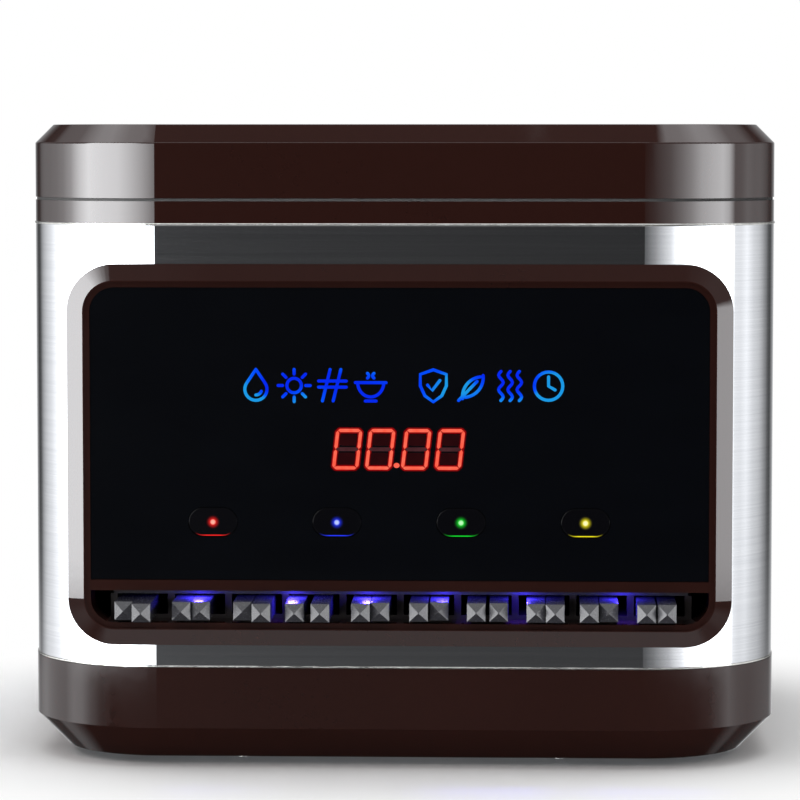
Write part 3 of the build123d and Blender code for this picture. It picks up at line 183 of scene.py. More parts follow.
shell_low, shell_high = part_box("steel_shell")
shell_middle = (shell_low + shell_high) / 2
SHELL_CORNER = 0.059
CORNER_STEPS = 24
HEM_HALF_HEIGHT = 0.00055
HEM_REACH = 0.7 * HEM_HALF_HEIGHT
HEM_STEPS = 6
shell_outline = []
for side_x, side_y, start in ((1, 1, 0), (-1, 1, 90), (-1, -1, 180), (1, -1, 270)):
    centre_x = shell_middle.x + side_x * (shell_high.x - shell_middle.x - SHELL_CORNER)
    centre_y = shell_middle.y + side_y * (shell_high.y - shell_middle.y - SHELL_CORNER)
    for step in range(CORNER_STEPS + 1):
        turn = math.radians(start + 90 * step / CORNER_STEPS)
        shell_outline.append((centre_x + SHELL_CORNER * math.cos(turn),
                              centre_y + SHELL_CORNER * math.sin(turn), turn))


def bead(shape, height):
    """Adds a half-round bead along the shell's outline at a height."""
    corners, faces = shape
    start = len(corners)
    row = HEM_STEPS + 1
    for x, y, turn in shell_outline:
        for step in range(row):
            tilt = math.radians(-90 + 180 * step / HEM_STEPS)
            out = HEM_REACH * math.cos(tilt)
            corners.append((x + out * math.cos(turn), y + out * math.sin(turn),
                            height + HEM_HALF_HEIGHT * math.sin(tilt)))
    for place in range(len(shell_outline)):
        here = start + place * row
        after = start + (place + 1) % len(shell_outline) * row
        for step in range(HEM_STEPS):
            faces.append((here + step, after + step, after + step + 1, here + step + 1))
        faces.append((here + HEM_STEPS, after + HEM_STEPS, after, here))


def made_mesh(name, shape, finish):
    """Puts a new mesh of corners and faces in the scene, in its finish."""
    corners, faces = shape
    mesh = bpy.data.meshes.new(name)
    mesh.from_pydata(corners, [], faces)
    mesh.validate()
    mesh.materials.append(finish.material)
    made = bpy.data.objects.new(name, mesh)
    bpy.context.scene.collection.objects.link(made)
    return made


def piece(name, shape, finish, body):
    """Makes a new piece in its finish, which rides on a body."""
    made = made_mesh(name, shape, finish)
    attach(made, body)


hems = ([], [])
bead(hems, shell_low.z + HEM_HALF_HEIGHT)
bead(hems, shell_high.z - HEM_HALF_HEIGHT)
bare_metal = Finish("bare_hem", Metallic=1.0)
nicks = bare_metal.noise(scale=300.0, detail=3.0)
bare_metal.feed(Base_Color=bare_metal.blend(nicks, paint(206, 205, 200), paint(240, 239, 234)),
                Roughness=0.16 + nicks * 0.10)
piece("shell_hems", hems, bare_metal, "casing")


# ---- Gasket and feet ----------------------------------------------------------------
# Black rubber. The gasket is a moulded ring pressed into the collar, and shows as the dark line under
# the lid. The feet are turned-over cups held by a screw each.

rubber = moulded("black_rubber", paint(16, 15, 15), paint(30, 29, 28),
                 gloss=0.62, grain=900.0, relief=0.35)
dress(rubber, "gasket", "feet")


# ---- Front glass --------------------------------------------------------------------
# A 3 mm pane, printed black on its back apart from the windows of sign and digits, and glued into the
# bezel. Its face is polished, with the faintest film left by wiping.

pane = Finish("printed_glass", Specular_IOR_Level=0.5)
wiped = pane.noise(scale=26.0, detail=5.0, stretch=(1.0, 1.0, 3.0))
pane.feed(Base_Color=pane.blend(wiped, paint(3, 4, 8), paint(7, 9, 14)), Roughness=0.02 + wiped * 0.02)
dress(pane, "front_glass")


# ---- Digits -------------------------------------------------------------------------
# A four-digit red LED module behind the pane shows the minutes and seconds left, with seven leaning
# bars to a digit in a dark red block. What shows through the pane is laid on its face as thin films,
# with the halos and the block just under the bars. The unlit bar and the block are no lamps, yet give
# off a faint painted glow of their own.

pane_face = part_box("front_glass")[0].y
FILM_LIFT = 0.00009
HALO_SUNK = 0.00004
BLOCK_SUNK = 0.00006
display_low, display_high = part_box("digit_display")
digits_z = (display_low.z + display_high.z) / 2
DIGIT_WIDTH = 0.0100
DIGIT_HEIGHT = 0.0163
DIGIT_MIDDLES = (-0.0224, -0.0081, 0.0075, 0.0221)
LEAN = math.tan(math.radians(6.5))
BAR_HALF = 0.00085
BAR_GAP = BAR_HALF * 1.15
HALO_HALF = BAR_HALF * 1.75
BLOCK_HALF_WIDTH = 0.0021
BLOCK_HALF_HEIGHT = DIGIT_HEIGHT / 4 * 0.8
POINT_X = -0.0010
POINT_BELOW = 0.0070
POINT_HALF = 0.0011
POINT_STRETCH = 0.0002
ROUND_END = ((1.0, 0.08), (0.87, 0.5), (0.5, 0.87))
POINTED_END = ((1.0, 0.04),)
FILM_EDGES = ((-1.0, 0.0), (-0.7, 1.0), (0.7, 1.0), (1.0, 0.0))


def band(shape, points, half_width, front, end=ROUND_END):
    """Adds a thin film along (x, z) points. An end lists its reach and width in half widths."""
    corners, faces = shape
    rings = []
    last = len(points) - 1
    for number, (x, z) in enumerate(points):
        before = points[max(number - 1, 0)]
        after = points[min(number + 1, last)]
        run = math.hypot(after[0] - before[0], after[1] - before[1])
        ahead = ((after[0] - before[0]) / run, (after[1] - before[1]) / run)
        spots = [(0.0, 1.0)]
        if number == 0:
            spots = [(-reach, width) for reach, width in end] + spots
        if number == last:
            spots = spots + [(reach, width) for reach, width in reversed(end)]
        for reach, width in spots:
            middle = (x + ahead[0] * reach * half_width, z + ahead[1] * reach * half_width)
            ring = []
            for side, lift in FILM_EDGES:
                across = side * width * half_width
                ring.append(len(corners))
                corners.append((middle[0] - ahead[1] * across, front - lift * FILM_LIFT,
                                middle[1] + ahead[0] * across))
            rings.append(ring)
    for first, second in zip(rings, rings[1:]):
        for one, two in ((0, 1), (1, 2), (2, 3), (3, 0)):
            faces.append((first[one], first[two], second[two], second[one]))
    faces.append(tuple(rings[0]))
    faces.append(tuple(reversed(rings[-1])))


def digit_bars(middle):
    """The seven bars of one digit, as pairs of (x, z) ends, and the middle bar last."""
    half, top = DIGIT_WIDTH / 2, DIGIT_HEIGHT / 2
    level = [((-half + BAR_GAP, z), (half - BAR_GAP, z)) for z in (top, -top, 0.0)]
    upright = [((x, low + BAR_GAP), (x, low + top - BAR_GAP)) for x in (-half, half) for low in (0.0, -top)]
    bars = level[:2] + upright + level[2:]
    return [[(middle + x + z * LEAN, digits_z + z) for x, z in bar] for bar in bars]


def lit_film(name, base, dim, bright, grain, detail):
    """A film that gives off its own light, a little uneven from dim to bright."""
    film = Finish(name, Base_Color=base, Roughness=0.5, Specular_IOR_Level=0.0, Emission_Strength=1.0)
    film.feed(Emission_Color=film.blend(film.noise(scale=grain, detail=detail), dim, bright))
    return film


lit, unlit, halos, blocks = ([], []), ([], []), ([], []), ([], [])
for middle in DIGIT_MIDDLES:
    *lit_bars, unlit_bar = digit_bars(middle)
    for bar in lit_bars:
        band(lit, bar, BAR_HALF, pane_face, POINTED_END)
        band(halos, bar, HALO_HALF, pane_face + HALO_SUNK)
    band(unlit, unlit_bar, BAR_HALF, pane_face, POINTED_END)
    for block_z in (-DIGIT_HEIGHT / 4, DIGIT_HEIGHT / 4):
        block_x = middle + block_z * LEAN
        band(blocks, [(block_x - BLOCK_HALF_WIDTH, digits_z + block_z),
                      (block_x + BLOCK_HALF_WIDTH, digits_z + block_z)],
             BLOCK_HALF_HEIGHT, pane_face + BLOCK_SUNK)
point_z = digits_z - POINT_BELOW
band(lit, [(POINT_X - POINT_STRETCH, point_z), (POINT_X + POINT_STRETCH, point_z)], POINT_HALF, pane_face)

bar_glow = lit_film("lit_digit_bars", paint(20, 3, 2), paint(255, 78, 56), paint(255, 122, 98),
                    grain=420.0, detail=1.0)
piece("digit_bars_lit", lit, bar_glow, "casing")
# Painted glow: the unlit bar gives off its faint pink light itself, though no lamp is lit in it.
unlit_bar_painted_glow = lit_film("unlit_digit_bars_painted_glow", paint(20, 6, 6), paint(52, 26, 30), paint(78, 44, 48),
                    grain=420.0, detail=1.0)
piece("digit_bars_unlit", unlit, unlit_bar_painted_glow, "casing")
halo_red = lit_film("digit_halo", paint(12, 1, 1), paint(96, 0, 4), paint(168, 4, 8),
                    grain=260.0, detail=2.0)
piece("digit_bars_halo", halos, halo_red, "casing")
# Painted glow: the dark red block gives off its light itself, though no lamp is in it.
block_painted_glow = lit_film("digit_inside", paint(10, 2, 2), paint(26, 6, 9), paint(44, 10, 13),
                     grain=200.0, detail=2.0)
piece("digit_insides", blocks, block_painted_glow, "casing")
module_red = Finish("module_window", Roughness=0.08, Coat_Weight=1.0)
mottled = module_red.noise(scale=90.0, detail=3.0)
module_red.feed(Base_Color=module_red.blend(mottled, paint(17, 8, 9), paint(27, 11, 12)))
dress(module_red, "digit_display")


# ---- Sign ---------------------------------------------------------------------------
# Two groups of four blue pictograms over the digits: cut-outs in the pane's black print, lit from
# behind by a diffuser with blue lamps, so that the blue is paler where a lamp is near.

sign_low, sign_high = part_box("sign_backlight")
sign_z = (sign_low.z + sign_high.z) / 2
SIGN_CELL = 0.0166
SIGN_HALF_STROKE = 0.00068
SIGN_GROUPS = (-0.0620, 0.0149)
sign_middles = [start + SIGN_CELL * number for start in SIGN_GROUPS for number in range(4)]


def arc(x, z, radius, start, end, steps, squash=1.0):
    """Points along an arc, its angles in degrees from the right-hand side."""
    turns = [math.radians(start + (end - start) * step / steps) for step in range(steps + 1)]
    return [(x + radius * math.cos(turn), z + squash * radius * math.sin(turn)) for turn in turns]


# Each sign is a list of strokes, in shares of its cell from the cell's middle.
drop = [[(0.0, 0.42)] + arc(0.0, -0.10, 0.29, 35, -215, 18) + [(0.0, 0.42)],
        arc(0.0, -0.10, 0.15, -20, -90, 6)]
sun = [arc(0.0, 0.0, 0.19, 0, 360, 20)]
for ray in range(8):
    way = (math.cos(ray * math.pi / 4), math.sin(ray * math.pi / 4))
    sun.append([(way[0] * 0.30, way[1] * 0.30), (way[0] * 0.42, way[1] * 0.42)])
sticks = [[(-0.26, -0.40), (-0.06, 0.42)], [(0.02, -0.40), (0.22, 0.42)],
          [(-0.36, 0.12), (0.36, 0.12)], [(-0.36, -0.04), (0.36, -0.04)]]
bowl = [[(-0.40, 0.08), (0.40, 0.08)], arc(0.0, 0.08, 0.34, 180, 360, 16, 1.1),
        [(-0.14, -0.40), (0.14, -0.40)],
        arc(-0.12, 0.26, 0.07, -60, 60, 6), arc(0.12, 0.26, 0.07, 240, 120, 6)]
shield = [[(0.0, 0.42), (0.34, 0.30), (0.34, 0.0), (0.22, -0.26), (0.0, -0.42), (-0.22, -0.26),
           (-0.34, 0.0), (-0.34, 0.30), (0.0, 0.42)],
          [(-0.15, 0.02), (-0.03, -0.12), (0.17, 0.14)]]
leaf = [arc(-0.22, 0.22, 0.52, -84, 6, 12), arc(0.28, -0.28, 0.52, 96, 186, 12),
        [(-0.34, -0.38), (0.14, 0.12)]]
warmth = [[(x + 0.06 * math.sin(4 * math.pi * step / 16), -0.38 + 0.76 * step / 16) for step in range(17)]
          for x in (-0.24, 0.0, 0.24)]
clock = [arc(0.0, 0.0, 0.37, 0, 360, 28), [(0.0, 0.24), (0.0, 0.0), (0.17, -0.10)]]

signs = ([], [])
for middle, strokes in zip(sign_middles, (drop, sun, sticks, bowl, shield, leaf, warmth, clock)):
    for stroke in strokes:
        band(signs, [(middle + x * SIGN_CELL, sign_z + z * SIGN_CELL) for x, z in stroke],
             SIGN_HALF_STROKE, pane_face)
sign_glow = Finish("lit_sign", Base_Color=paint(0, 2, 12), Roughness=0.5, Specular_IOR_Level=0.0,
                   Emission_Strength=1.0)
near_lamp = sign_glow.noise(scale=55.0, detail=0.0, stretch=(1.0, 1.0, 1.6))
sign_glow.feed(Emission_Color=sign_glow.add("ValToRGB", {"stops": [
    (0.36, paint(6, 42, 238)), (0.52, paint(4, 78, 250)), (0.66, paint(28, 152, 228))]}, {"Fac": near_lamp}))
piece("sign_pictograms", signs, sign_glow, "casing")
diffuser = moulded("sign_diffuser", paint(150, 170, 225), paint(190, 205, 240),
                   gloss=0.4, grain=500.0, relief=0.1, Emission_Strength=0.0)
dress(diffuser, "sign_backlight")


# ---- Keys ---------------------------------------------------------------------------
# Four capsule-shaped keys of smoked acrylic stand through the pane, each with a lamp under its middle.
# The lamp shows as a bright dot with a small halo, and lights the key's rim, the lower side most.

smoked = moulded("key_acrylic", paint(7, 7, 10), paint(12, 12, 16),
                 gloss=0.12, grain=300.0, relief=0.01, Specular_IOR_Level=0.06)
KEY_COLOURS = {
    "power": ((255, 40, 38), (255, 180, 160)),
    "sterilise": ((40, 60, 255), (190, 205, 255)),
    "dispense": ((20, 225, 50), (190, 255, 190)),
    "repeat": ((250, 235, 30), (255, 255, 190)),
}
KEY_FLANGE = 0.0015
RIM_INSET = 0.0004
RIM_HALF = 0.00022
UPPER_RIM_HALF = RIM_HALF * 0.6
RIM_LIT, RIM_DARK = 0.0030, 0.0078
DOT_RADIUS = 0.0012
HALO_RADIUS = 0.0031
DISC_STRETCH = 0.00002


def glow_share(finish, middle, near, far):
    """A share that falls from 1 to 0 between two distances from a place."""
    away = finish.add("VectorMath", {"operation": "DISTANCE"}, {0: finish.place, 1: middle}, 1)
    return finish.add("MapRange", {}, {"Value": away, "From Min": near, "From Max": far,
                                       "To Min": 1.0, "To Max": 0.0})


for key, (tone, hot) in KEY_COLOURS.items():
    dress(smoked, key + "_button")
    low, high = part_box(key + "_button")
    key_x, key_z, key_front = (low.x + high.x) / 2, (low.z + high.z) / 2, low.y
    key_round = (high.z - low.z) / 2 - KEY_FLANGE
    key_straight = (high.x - low.x) / 2 - KEY_FLANGE - key_round
    rim_round = key_round - RIM_INSET

    lamp_spot = Finish(key + "_halo", Base_Color=paint(4, 4, 5), Specular_IOR_Level=0.0,
                       Emission_Strength=1.0)
    dot_middle = (key_x, key_front, key_z)
    fade = glow_share(lamp_spot, dot_middle, DOT_RADIUS * 0.75, HALO_RADIUS)
    core = glow_share(lamp_spot, dot_middle, DOT_RADIUS * 0.5, DOT_RADIUS * 1.1)
    halo = lamp_spot.blend(fade ** 2.2, paint(9, 9, 12), paint(*tone))
    lamp_spot.feed(Emission_Color=lamp_spot.blend(core, halo, paint(*hot)))
    disc = ([], [])
    band(disc, [(key_x - DISC_STRETCH, key_z), (key_x + DISC_STRETCH, key_z)], HALO_RADIUS, key_front)
    piece(key + "_dot", disc, lamp_spot, key + "_key")

    rim = Finish(key + "_rim", Base_Color=paint(5, 5, 6), Specular_IOR_Level=0.0, Emission_Strength=1.0)
    near_rim = glow_share(rim, (key_x, key_front, key_z - rim_round), RIM_LIT, RIM_DARK)
    rim.feed(Emission_Color=rim.blend(near_rim ** 1.3, paint(10, 10, 12), paint(*tone)))
    lower = (arc(key_x - key_straight, key_z, rim_round, 200, 270, 8)
             + arc(key_x + key_straight, key_z, rim_round, 270, 340, 8))
    upper = [(x, 2 * key_z - z) for x, z in lower]
    edge = ([], [])
    band(edge, lower, RIM_HALF, key_front)
    band(edge, upper, UPPER_RIM_HALF, key_front)
    piece(key + "_rim", edge, rim, key + "_key")


# ---- Slot lamps ---------------------------------------------------------------------
# A strip board under the crossbar carries the blue-violet lamps that light the stick ends. Each lamp
# is a low clear lens a few millimetres wide, on the underside of the board near its back edge.

strip = moulded("lamp_strip_board", paint(12, 12, 14), paint(22, 22, 25),
                gloss=0.45, grain=500.0, relief=0.05, Specular_IOR_Level=0.2)
dress(strip, "lamp_strip")
lens = Finish("slot_lamp_lens", Base_Color=paint(120, 120, 255), Roughness=0.2, Emission_Strength=900.0)
uneven = lens.noise(scale=300.0, detail=1.0)
lens.feed(Emission_Color=lens.blend(uneven, paint(50, 34, 255), paint(78, 66, 255)))
strip_low, strip_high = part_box("lamp_strip")
LENS_PLACES = (-0.088, -0.047, -0.014, 0.019, 0.054, 0.097)
LENS_HALF = 0.0022
LENS_HALF_DEPTH = LENS_HALF * 0.8
LENS_HEIGHT = 0.0006
LENS_DROP = 0.00002
LENS_FROM_BACK = 0.00065
LENS_ROWS = 4
LENS_SIDES = 12
for number, lens_x in enumerate(LENS_PLACES, 1):
    cap = ([], [])
    for row in range(LENS_ROWS + 1):
        tilt = math.pi / 2 * row / LENS_ROWS
        for step in range(LENS_SIDES):
            turn = 2 * math.pi * step / LENS_SIDES
            cap[0].append((lens_x + LENS_HALF * math.cos(tilt) * math.cos(turn),
                           strip_high.y - LENS_FROM_BACK + LENS_HALF_DEPTH * math.cos(tilt) * math.sin(turn),
                           strip_low.z - LENS_DROP - LENS_HEIGHT * math.sin(tilt)))
    for row in range(LENS_ROWS):
        for step in range(LENS_SIDES):
            here = row * LENS_SIDES + step
            after = row * LENS_SIDES + (step + 1) % LENS_SIDES
            cap[1].append((here, after, after + LENS_SIDES, here + LENS_SIDES))
    piece(f"slot_lamp_{number}", cap, lens, "casing")


# ---- Chopsticks ---------------------------------------------------------------------
# Ten pairs of square sticks pressed from a dark glass-filled alloy plastic, satin and slightly
# streaked along their length, with a four-sided point on the end that shows.

stick_grey = Finish("stick_alloy", Specular_IOR_Level=0.6)
streaks = stick_grey.noise(scale=1.0, detail=4.0, stretch=(900.0, 25.0, 900.0))
specks = stick_grey.noise(scale=1500.0, detail=2.0)
stick_tone = streaks * 0.6 + specks * 0.4
stick_grey.feed(Base_Color=stick_grey.blend(stick_tone, paint(40, 40, 44), paint(66, 66, 71)),
                Roughness=0.20 + specks * 0.12)
stick_grey.emboss(specks, strength=0.12, depth=0.0001)
dress(stick_grey, *[f"chopstick_pair_{number:02d}" for number in range(1, 11)])


# ---- Sheet steel, rods and screws ---------------------------------------------------
# Rear cover, bottom plate, motor bracket, air duct and the motor's case are galvanised sheet. The
# hopper bin is folded sheet, coloured near-black as painted shade for the dark inside of the box. Rods,
# hinge pins and shaft are turned bar. Screws are zinc-plated.

sheet = Finish("zinc_sheet", Metallic=1.0)
spangle = sheet.add("TexVoronoi", {}, {"Vector": sheet.place, "Scale": 160.0}, "Color")
clouds = sheet.noise(scale=40.0, detail=4.0)
sheet.feed(Base_Color=sheet.blend(clouds, paint(150, 152, 155), paint(188, 190, 192)),
           Roughness=sheet.add("SeparateColor", {}, {0: spangle}) * 0.16 + clouds * 0.1 + 0.24)
dress(sheet, "rear_cover", "bottom_plate", "motor_bracket", "air_duct", "gear_motor")
# Painted shade: the hopper bin's near-black colour stands in for the dark inside of the box.
bin_painted_shade = moulded("bin_near_black_painted_shade", paint(13, 12, 13), paint(24, 22, 23),
                 gloss=0.50, grain=1100.0, relief=0.35, Specular_IOR_Level=0.3)
dress(bin_painted_shade, "hopper_bin")
turned = Finish("turned_bar", Metallic=1.0)
tool_marks = turned.noise(scale=1.0, detail=3.0, stretch=(2400.0, 60.0, 60.0))
turned.feed(Base_Color=turned.blend(tool_marks, paint(160, 160, 162), paint(214, 214, 214)),
            Roughness=0.16 + tool_marks * 0.14)
dress(turned, "guide_rods", "hinge_pins", "motor_shaft")
zinc = Finish("zinc_screws", Metallic=1.0)
plating = zinc.noise(scale=900.0, detail=3.0)
zinc.feed(Base_Color=zinc.blend(plating, paint(140, 142, 148), paint(206, 206, 204)),
          Roughness=0.22 + plating * 0.2)
zinc.emboss(plating, strength=0.08, depth=0.0001)
dress(zinc, "foot_screws", "bottom_screws", "rear_cover_screws", "board_screws", "motor_screws",
      "liner_screws")


# ---- Circuit boards -----------------------------------------------------------------
# Green glass-fibre boards with copper tracks under the lacquer: the display board behind the pane and
# the power board on the bottom plate.

laminate = Finish("board_laminate", Coat_Weight=0.3)
board_place = laminate.add("Mapping", {}, {"Vector": laminate.place, "Rotation": (math.pi / 2, 0.0, 0.0)})
tracks = laminate.add("TexBrick", {"offset": 0.37, "squash": 0.6}, {
    "Vector": board_place, "Scale": 160.0, "Mortar Size": 0.012, "Mortar Smooth": 0.2,
    "Color1": paint(10, 62, 30), "Color2": paint(16, 76, 36), "Mortar": paint(52, 118, 58)})
weave = laminate.noise(scale=1600.0, detail=1.0)
laminate.feed(Base_Color=laminate.blend(weave * 0.3, tracks, paint(8, 48, 24)),
              Roughness=0.28 + weave * 0.14)
dress(laminate, "display_board", "power_board")


# ---- Key lamps and black mouldings --------------------------------------------------
# The keys' small clear lamps and their push switches are soldered to the display board. The switches'
# cases, the fan and the power inlet are moulded in plain black ABS.

clear_lamp = moulded("clear_lamp", paint(196, 204, 214), paint(226, 230, 236),
                     gloss=0.12, grain=600.0, relief=0.03, Transmission_Weight=0.5)
dress(clear_lamp, "button_lamps")
black_abs = moulded("black_abs", paint(18, 18, 19), paint(31, 31, 32),
                    gloss=0.34, grain=800.0, relief=0.25)
dress(black_abs, "key_switches", "lid_switch", "fan_housing", "fan_rotor", "power_inlet")


# ---- Under the lid ------------------------------------------------------------------
# A polished aluminium liner with a trough for the ultraviolet tube, the quartz tube itself, its two
# white end holders and the magnet that works the lid switch.

polished = Finish("polished_liner", Metallic=1.0, Anisotropic=0.5)
rubbed = polished.noise(scale=1.0, detail=4.0, stretch=(30.0, 900.0, 900.0))
polished.feed(Base_Color=polished.blend(rubbed, paint(205, 207, 210), paint(240, 241, 243)),
              Roughness=0.10 + rubbed * 0.12)
dress(polished, "lid_liner")
quartz = moulded("quartz_tube", paint(214, 222, 236), paint(238, 242, 250),
                 gloss=0.04, grain=200.0, relief=0.01, Transmission_Weight=0.7)
dress(quartz, "uv_lamp")
white_abs = moulded("white_abs", paint(206, 204, 196), paint(228, 227, 221),
                    gloss=0.32, grain=700.0, relief=0.15)
dress(white_abs, "lamp_holders")
ferrite = moulded("ferrite", paint(44, 42, 42), paint(66, 63, 62),
                  gloss=0.5, grain=1400.0, relief=0.4)
dress(ferrite, "lid_magnet")


# ---- Pusher drive -------------------------------------------------------------------
# The comb and rack are moulded in milky acetal, which slides on the guide rods without grease. The
# pinion that drives them is cut from brass.

acetal = moulded("acetal", paint(196, 194, 184), paint(222, 221, 214),
                 gloss=0.36, grain=650.0, relief=0.12)
dress(acetal, "pusher_comb", "pusher_rack")
brass = Finish("cut_brass", Metallic=1.0)
hobbed = brass.noise(scale=1.0, detail=3.0, stretch=(2200.0, 300.0, 300.0))
brass.feed(Base_Color=brass.blend(hobbed, paint(176, 132, 62), paint(222, 182, 98)),
           Roughness=0.22 + hobbed * 0.16)
dress(brass, "drive_pinion")


# ---- Heater, ozone cell and transformer ---------------------------------------------
# A finned aluminium heater over the fan, a potted ozone cell, and a transformer of stamped iron
# plates round varnished copper windings.

fins = Finish("heater_fins", Metallic=1.0)
scuffs = fins.noise(scale=1.0, detail=4.0, stretch=(60.0, 60.0, 900.0))
fins.feed(Base_Color=fins.blend(scuffs, paint(150, 148, 146), paint(204, 203, 201)),
          Roughness=0.30 + scuffs * 0.15)
dress(fins, "heater")
potted = moulded("potted_cell", paint(34, 40, 58), paint(48, 56, 78),
                 gloss=0.22, grain=500.0, relief=0.06)
dress(potted, "ozone_generator")
plates = Finish("iron_and_copper", Metallic=0.7)
layers = plates.add("TexWave", {"bands_direction": "Y"},
                    {"Vector": plates.place, "Scale": 420.0, "Distortion": 1.2, "Detail": 2.0}, "Fac")
plates.feed(Base_Color=plates.blend(layers, paint(74, 58, 48), paint(150, 96, 58)),
            Roughness=0.36 + layers * 0.2)
plates.emboss(layers, strength=0.3, depth=0.0003)
dress(plates, "transformer")


# ---- Studio floor -------------------------------------------------------------------
# A pale floor that keeps the box's shadow and turns into the white backdrop away from it. The world
# lights the box evenly, and shows as white to the camera, to mirrors and through glass.

WHITE = (1.0, 1.0, 1.0, 1.0)
WORLD_GREY = (0.66, 0.66, 0.66, 1.0)
FLOOR_GREY = (0.88, 0.88, 0.88, 1.0)
FLOOR_HALF = 6
SHADOW_MIDDLE_Y = -0.005
SHADOW_SQUEEZE = 0.86
SHADOW_HELD, SHADOW_GONE = 0.155, 0.285

world = bpy.data.worlds.new("studio")
bpy.context.scene.world = world
world.use_nodes = True
sky = Recipe(world.node_tree)
camera_ray, mirror_ray, glass_ray = [sky.add("LightPath", {}, {}, name) for name in
                                     ("Is Camera Ray", "Is Glossy Ray", "Is Transmission Ray")]
seen = camera_ray + mirror_ray + glass_ray > 0.5
sky.fill(world.node_tree.nodes["Background"], {"Color": sky.blend(seen, WORLD_GREY, WHITE)})


def studio_surface(name, shape, finish):
    """Makes a surface of the studio, which is no part of the box."""
    made = made_mesh(name, shape, finish)
    return made


ground = Finish("floor_paint", Roughness=1.0, Base_Color=FLOOR_GREY, Specular_IOR_Level=0.0)
backdrop = ground.add("Emission", {}, {"Color": WHITE, "Strength": 1.0})
from_box = ground.add("Mapping", {}, {"Vector": ground.place, "Location": (0.0, SHADOW_MIDDLE_Y, 0.0),
                                      "Scale": (SHADOW_SQUEEZE, 1.0, 1.0)})
distance = ground.add("VectorMath", {"operation": "LENGTH"}, {0: from_box}, 1)
far = ground.add("MapRange", {"interpolation_type": "SMOOTHSTEP"},
                 {"Value": distance, "From Min": SHADOW_HELD, "From Max": SHADOW_GONE,
                  "To Min": 0.0, "To Max": 1.0})
eye = ground.add("LightPath", {}, {}, "Is Camera Ray")
matt = Wire(ground.tree, ground.shader.outputs["BSDF"])
ground.surface(ground.add("MixShader", {}, {0: far * eye, 1: matt, 2: backdrop}))
floor_corners = [(-FLOOR_HALF, -FLOOR_HALF, 0), (FLOOR_HALF, -FLOOR_HALF, 0),
                 (FLOOR_HALF, FLOOR_HALF, 0), (-FLOOR_HALF, FLOOR_HALF, 0)]
floor = studio_surface("floor", (floor_corners, [(0, 1, 2, 3)]), ground)
floor.visible_glossy = False


# ---- Mirrored dome ------------------------------------------------------------------
# What the polished faces mirror is a far dome round the box, which only mirrored rays meet. Its
# brightness is listed by height and bearing in degrees, 0 straight ahead and the right side positive:
# two soft boxes beside a dark camera stand, and below them the table that they light.

DOME_RADIUS = 60.0
DOME_TINT = (0.97, 0.98, 1.0, 1.0)
BRIGHTEST = 16.5
beside = ((-180, 0.9), (-160, 0.35), (-150, 0.06), (-143, 0.12), (-138, 0.4), (-130, 0.75), (-118, 1.2),
          (-107, 1.85), (-97, 2.9), (-87, 5.4), (-77, 11.4), (-67, 16.5), (-47, 15.6), (-38, 15.0),
          (-28, 12.0), (-15, 7.5), (-10, 3.5), (-8.4, 1.0), (-7.4, 0.05), (2.5, 0.03), (4, 0.06), (7, 0.22),
          (11, 0.55), (16, 0.9), (24, 1.5), (34, 3.1), (42, 4.8), (52, 8.0), (63, 9.6), (73, 10.5),
          (80, 7.8), (87, 1.3), (95, 1.3), (103, 1.6), (113, 1.1), (123, 0.85), (133, 0.45), (143, 0.14),
          (150, 0.07), (160, 0.35), (180, 0.9))
table = ((-180, 0.9), (-150, 0.35), (-140, 0.7), (-130, 1.1), (-107, 1.3), (-97, 1.5), (-87, 2.6),
         (-77, 2.6), (-67, 1.2), (-57, 0.4), (-45, 0.1), (-8, 0.16), (0, 0.09), (45, 0.09), (61, 0.25),
         (71, 0.8), (82, 1.7), (93, 1.1), (106, 0.77), (123, 0.6), (140, 0.4), (150, 0.3), (180, 0.9))
under = ((-180, 0.08), (-150, 0.08), (-142, 0.8), (-90, 0.8), (-45, 0.45), (-25, 0.05), (25, 0.05),
         (45, 0.45), (90, 0.8), (135, 0.95), (142, 0.9), (150, 0.08), (180, 0.08))
dark = ((-180, 0.03), (180, 0.03))
lit_below = ((-180, 0.03), (-40, 0.03), (-25, 0.7), (25, 0.7), (40, 0.03), (180, 0.03))
TALL_BOX_FROM, TALL_BOX_TO = -75, -20
ALOFT_BRIGHTNESS = 0.45
aloft = tuple((turn, level if TALL_BOX_FROM <= turn <= TALL_BOX_TO else min(level, ALOFT_BRIGHTNESS))
              for turn, level in beside)


def above(ahead, behind):
    """High up, a softer overhead lamp, listed for the half ahead of the box and the half behind it."""
    return ((-180, behind), (-90, behind), (-70, ahead), (70, ahead), (90, behind), (180, behind))


heights = ((-89.9, dark), (-76, dark), (-69, lit_below), (-50, lit_below), (-30, under), (-22, under),
           (-13, table), (-8.2, table), (-6.5, beside), (3, beside), (9, aloft), (30, aloft),
           (47, above(0.2, 1.0)), (58, above(0.3, 3.0)), (64, above(1.4, 3.4)), (72, above(2.0, 2.5)),
           (79, above(2.0, 2.4)), (83, above(0.15, 0.15)), (89.9, above(0.15, 0.15)))


def read_off(listed, bearing):
    """The brightness at a bearing, between the two listed ones round it."""
    for (low, first), (high, second) in zip(listed, listed[1:]):
        if bearing <= high:
            return first + (second - first) * (bearing - low) / (high - low)


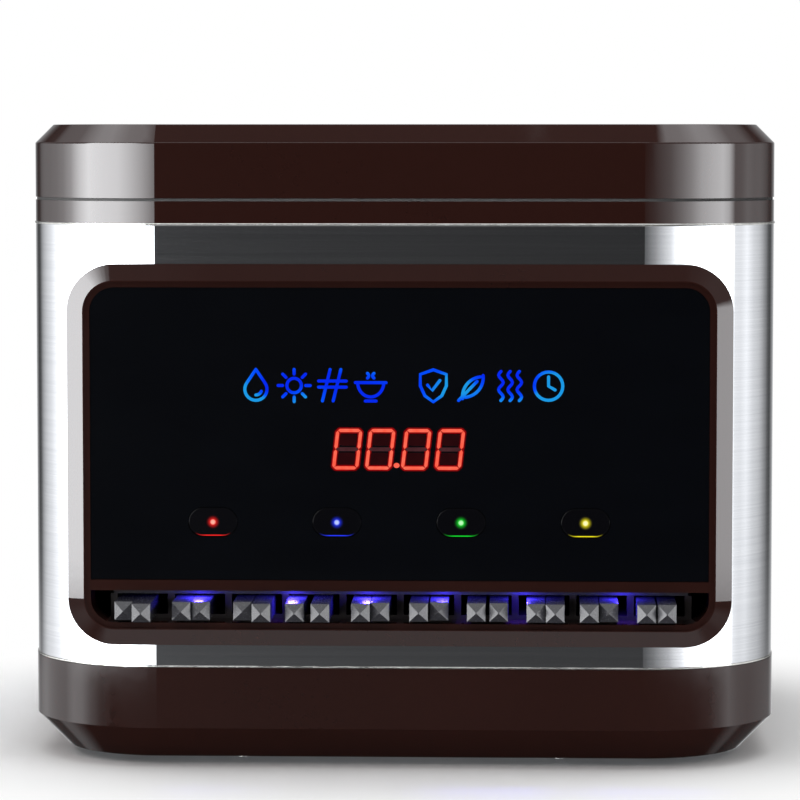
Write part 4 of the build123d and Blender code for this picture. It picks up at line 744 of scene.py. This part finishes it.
bearings = sorted(set(range(-180, 181, 5)) | {turn for turn, _ in beside + table})
dome_shape, dome_glow = ([], []), []
for tilt, bright in heights:
    reach = DOME_RADIUS * math.cos(math.radians(tilt))
    for bearing in bearings:
        turn = math.radians(bearing)
        dome_shape[0].append((reach * math.sin(turn), -reach * math.cos(turn),
                              DOME_RADIUS * math.sin(math.radians(tilt))))
        dome_glow.append(read_off(bright, bearing) / BRIGHTEST)
row = len(bearings)
for height in range(len(heights) - 1):
    for step in range(row - 1):
        first = height * row + step
        dome_shape[1].append((first, first + row, first + row + 1, first + 1))
dome_light = Finish("dome_light")
shine = dome_light.add("Attribute", {"attribute_name": "glow"}, {}, "Fac")
dome_light.surface(dome_light.add("Emission", {}, {"Color": DOME_TINT, "Strength": shine * BRIGHTEST}))
dome = studio_surface("mirrored_dome", dome_shape, dome_light)
dome.data.attributes.new("glow", "FLOAT", "POINT").data.foreach_set("value", dome_glow)
dome.visible_camera = False
dome.visible_diffuse = False
dome.visible_transmission = False
dome.visible_shadow = False


# ---- Overhead lamp and camera -------------------------------------------------------
# A wide soft lamp hangs over the front of the box. The camera stands 1.6 m in front of the box, a
# little to its right and level with its lid, and looks slightly down.

soft = bpy.data.lights.new("soft_top", "AREA")
soft.shape = "RECTANGLE"
soft.size = 1.6
soft.size_y = 1.2
soft.energy = 9.0
soft_top = bpy.data.objects.new("soft_top", soft)
soft_top.location = (0.0, -0.35, 1.5)
soft_top.rotation_euler = (math.radians(-12), 0.0, 0.0)
soft_top.visible_glossy = False
bpy.context.scene.collection.objects.link(soft_top)

CAMERA_DOWN = 4.04
CAMERA_LEFT = 2.163
long_lens = bpy.data.cameras.new("camera")
long_lens.lens = 166.6
long_lens.sensor_width = 36.0
camera = bpy.data.objects.new("camera", long_lens)
camera.location = (0.0608, -1.7367, 0.275)
camera.rotation_euler = (math.radians(90 - CAMERA_DOWN), 0.0, math.radians(CAMERA_LEFT))
bpy.context.scene.collection.objects.link(camera)
bpy.context.scene.camera = camera
bpy.context.scene.view_settings.view_transform = "Standard"
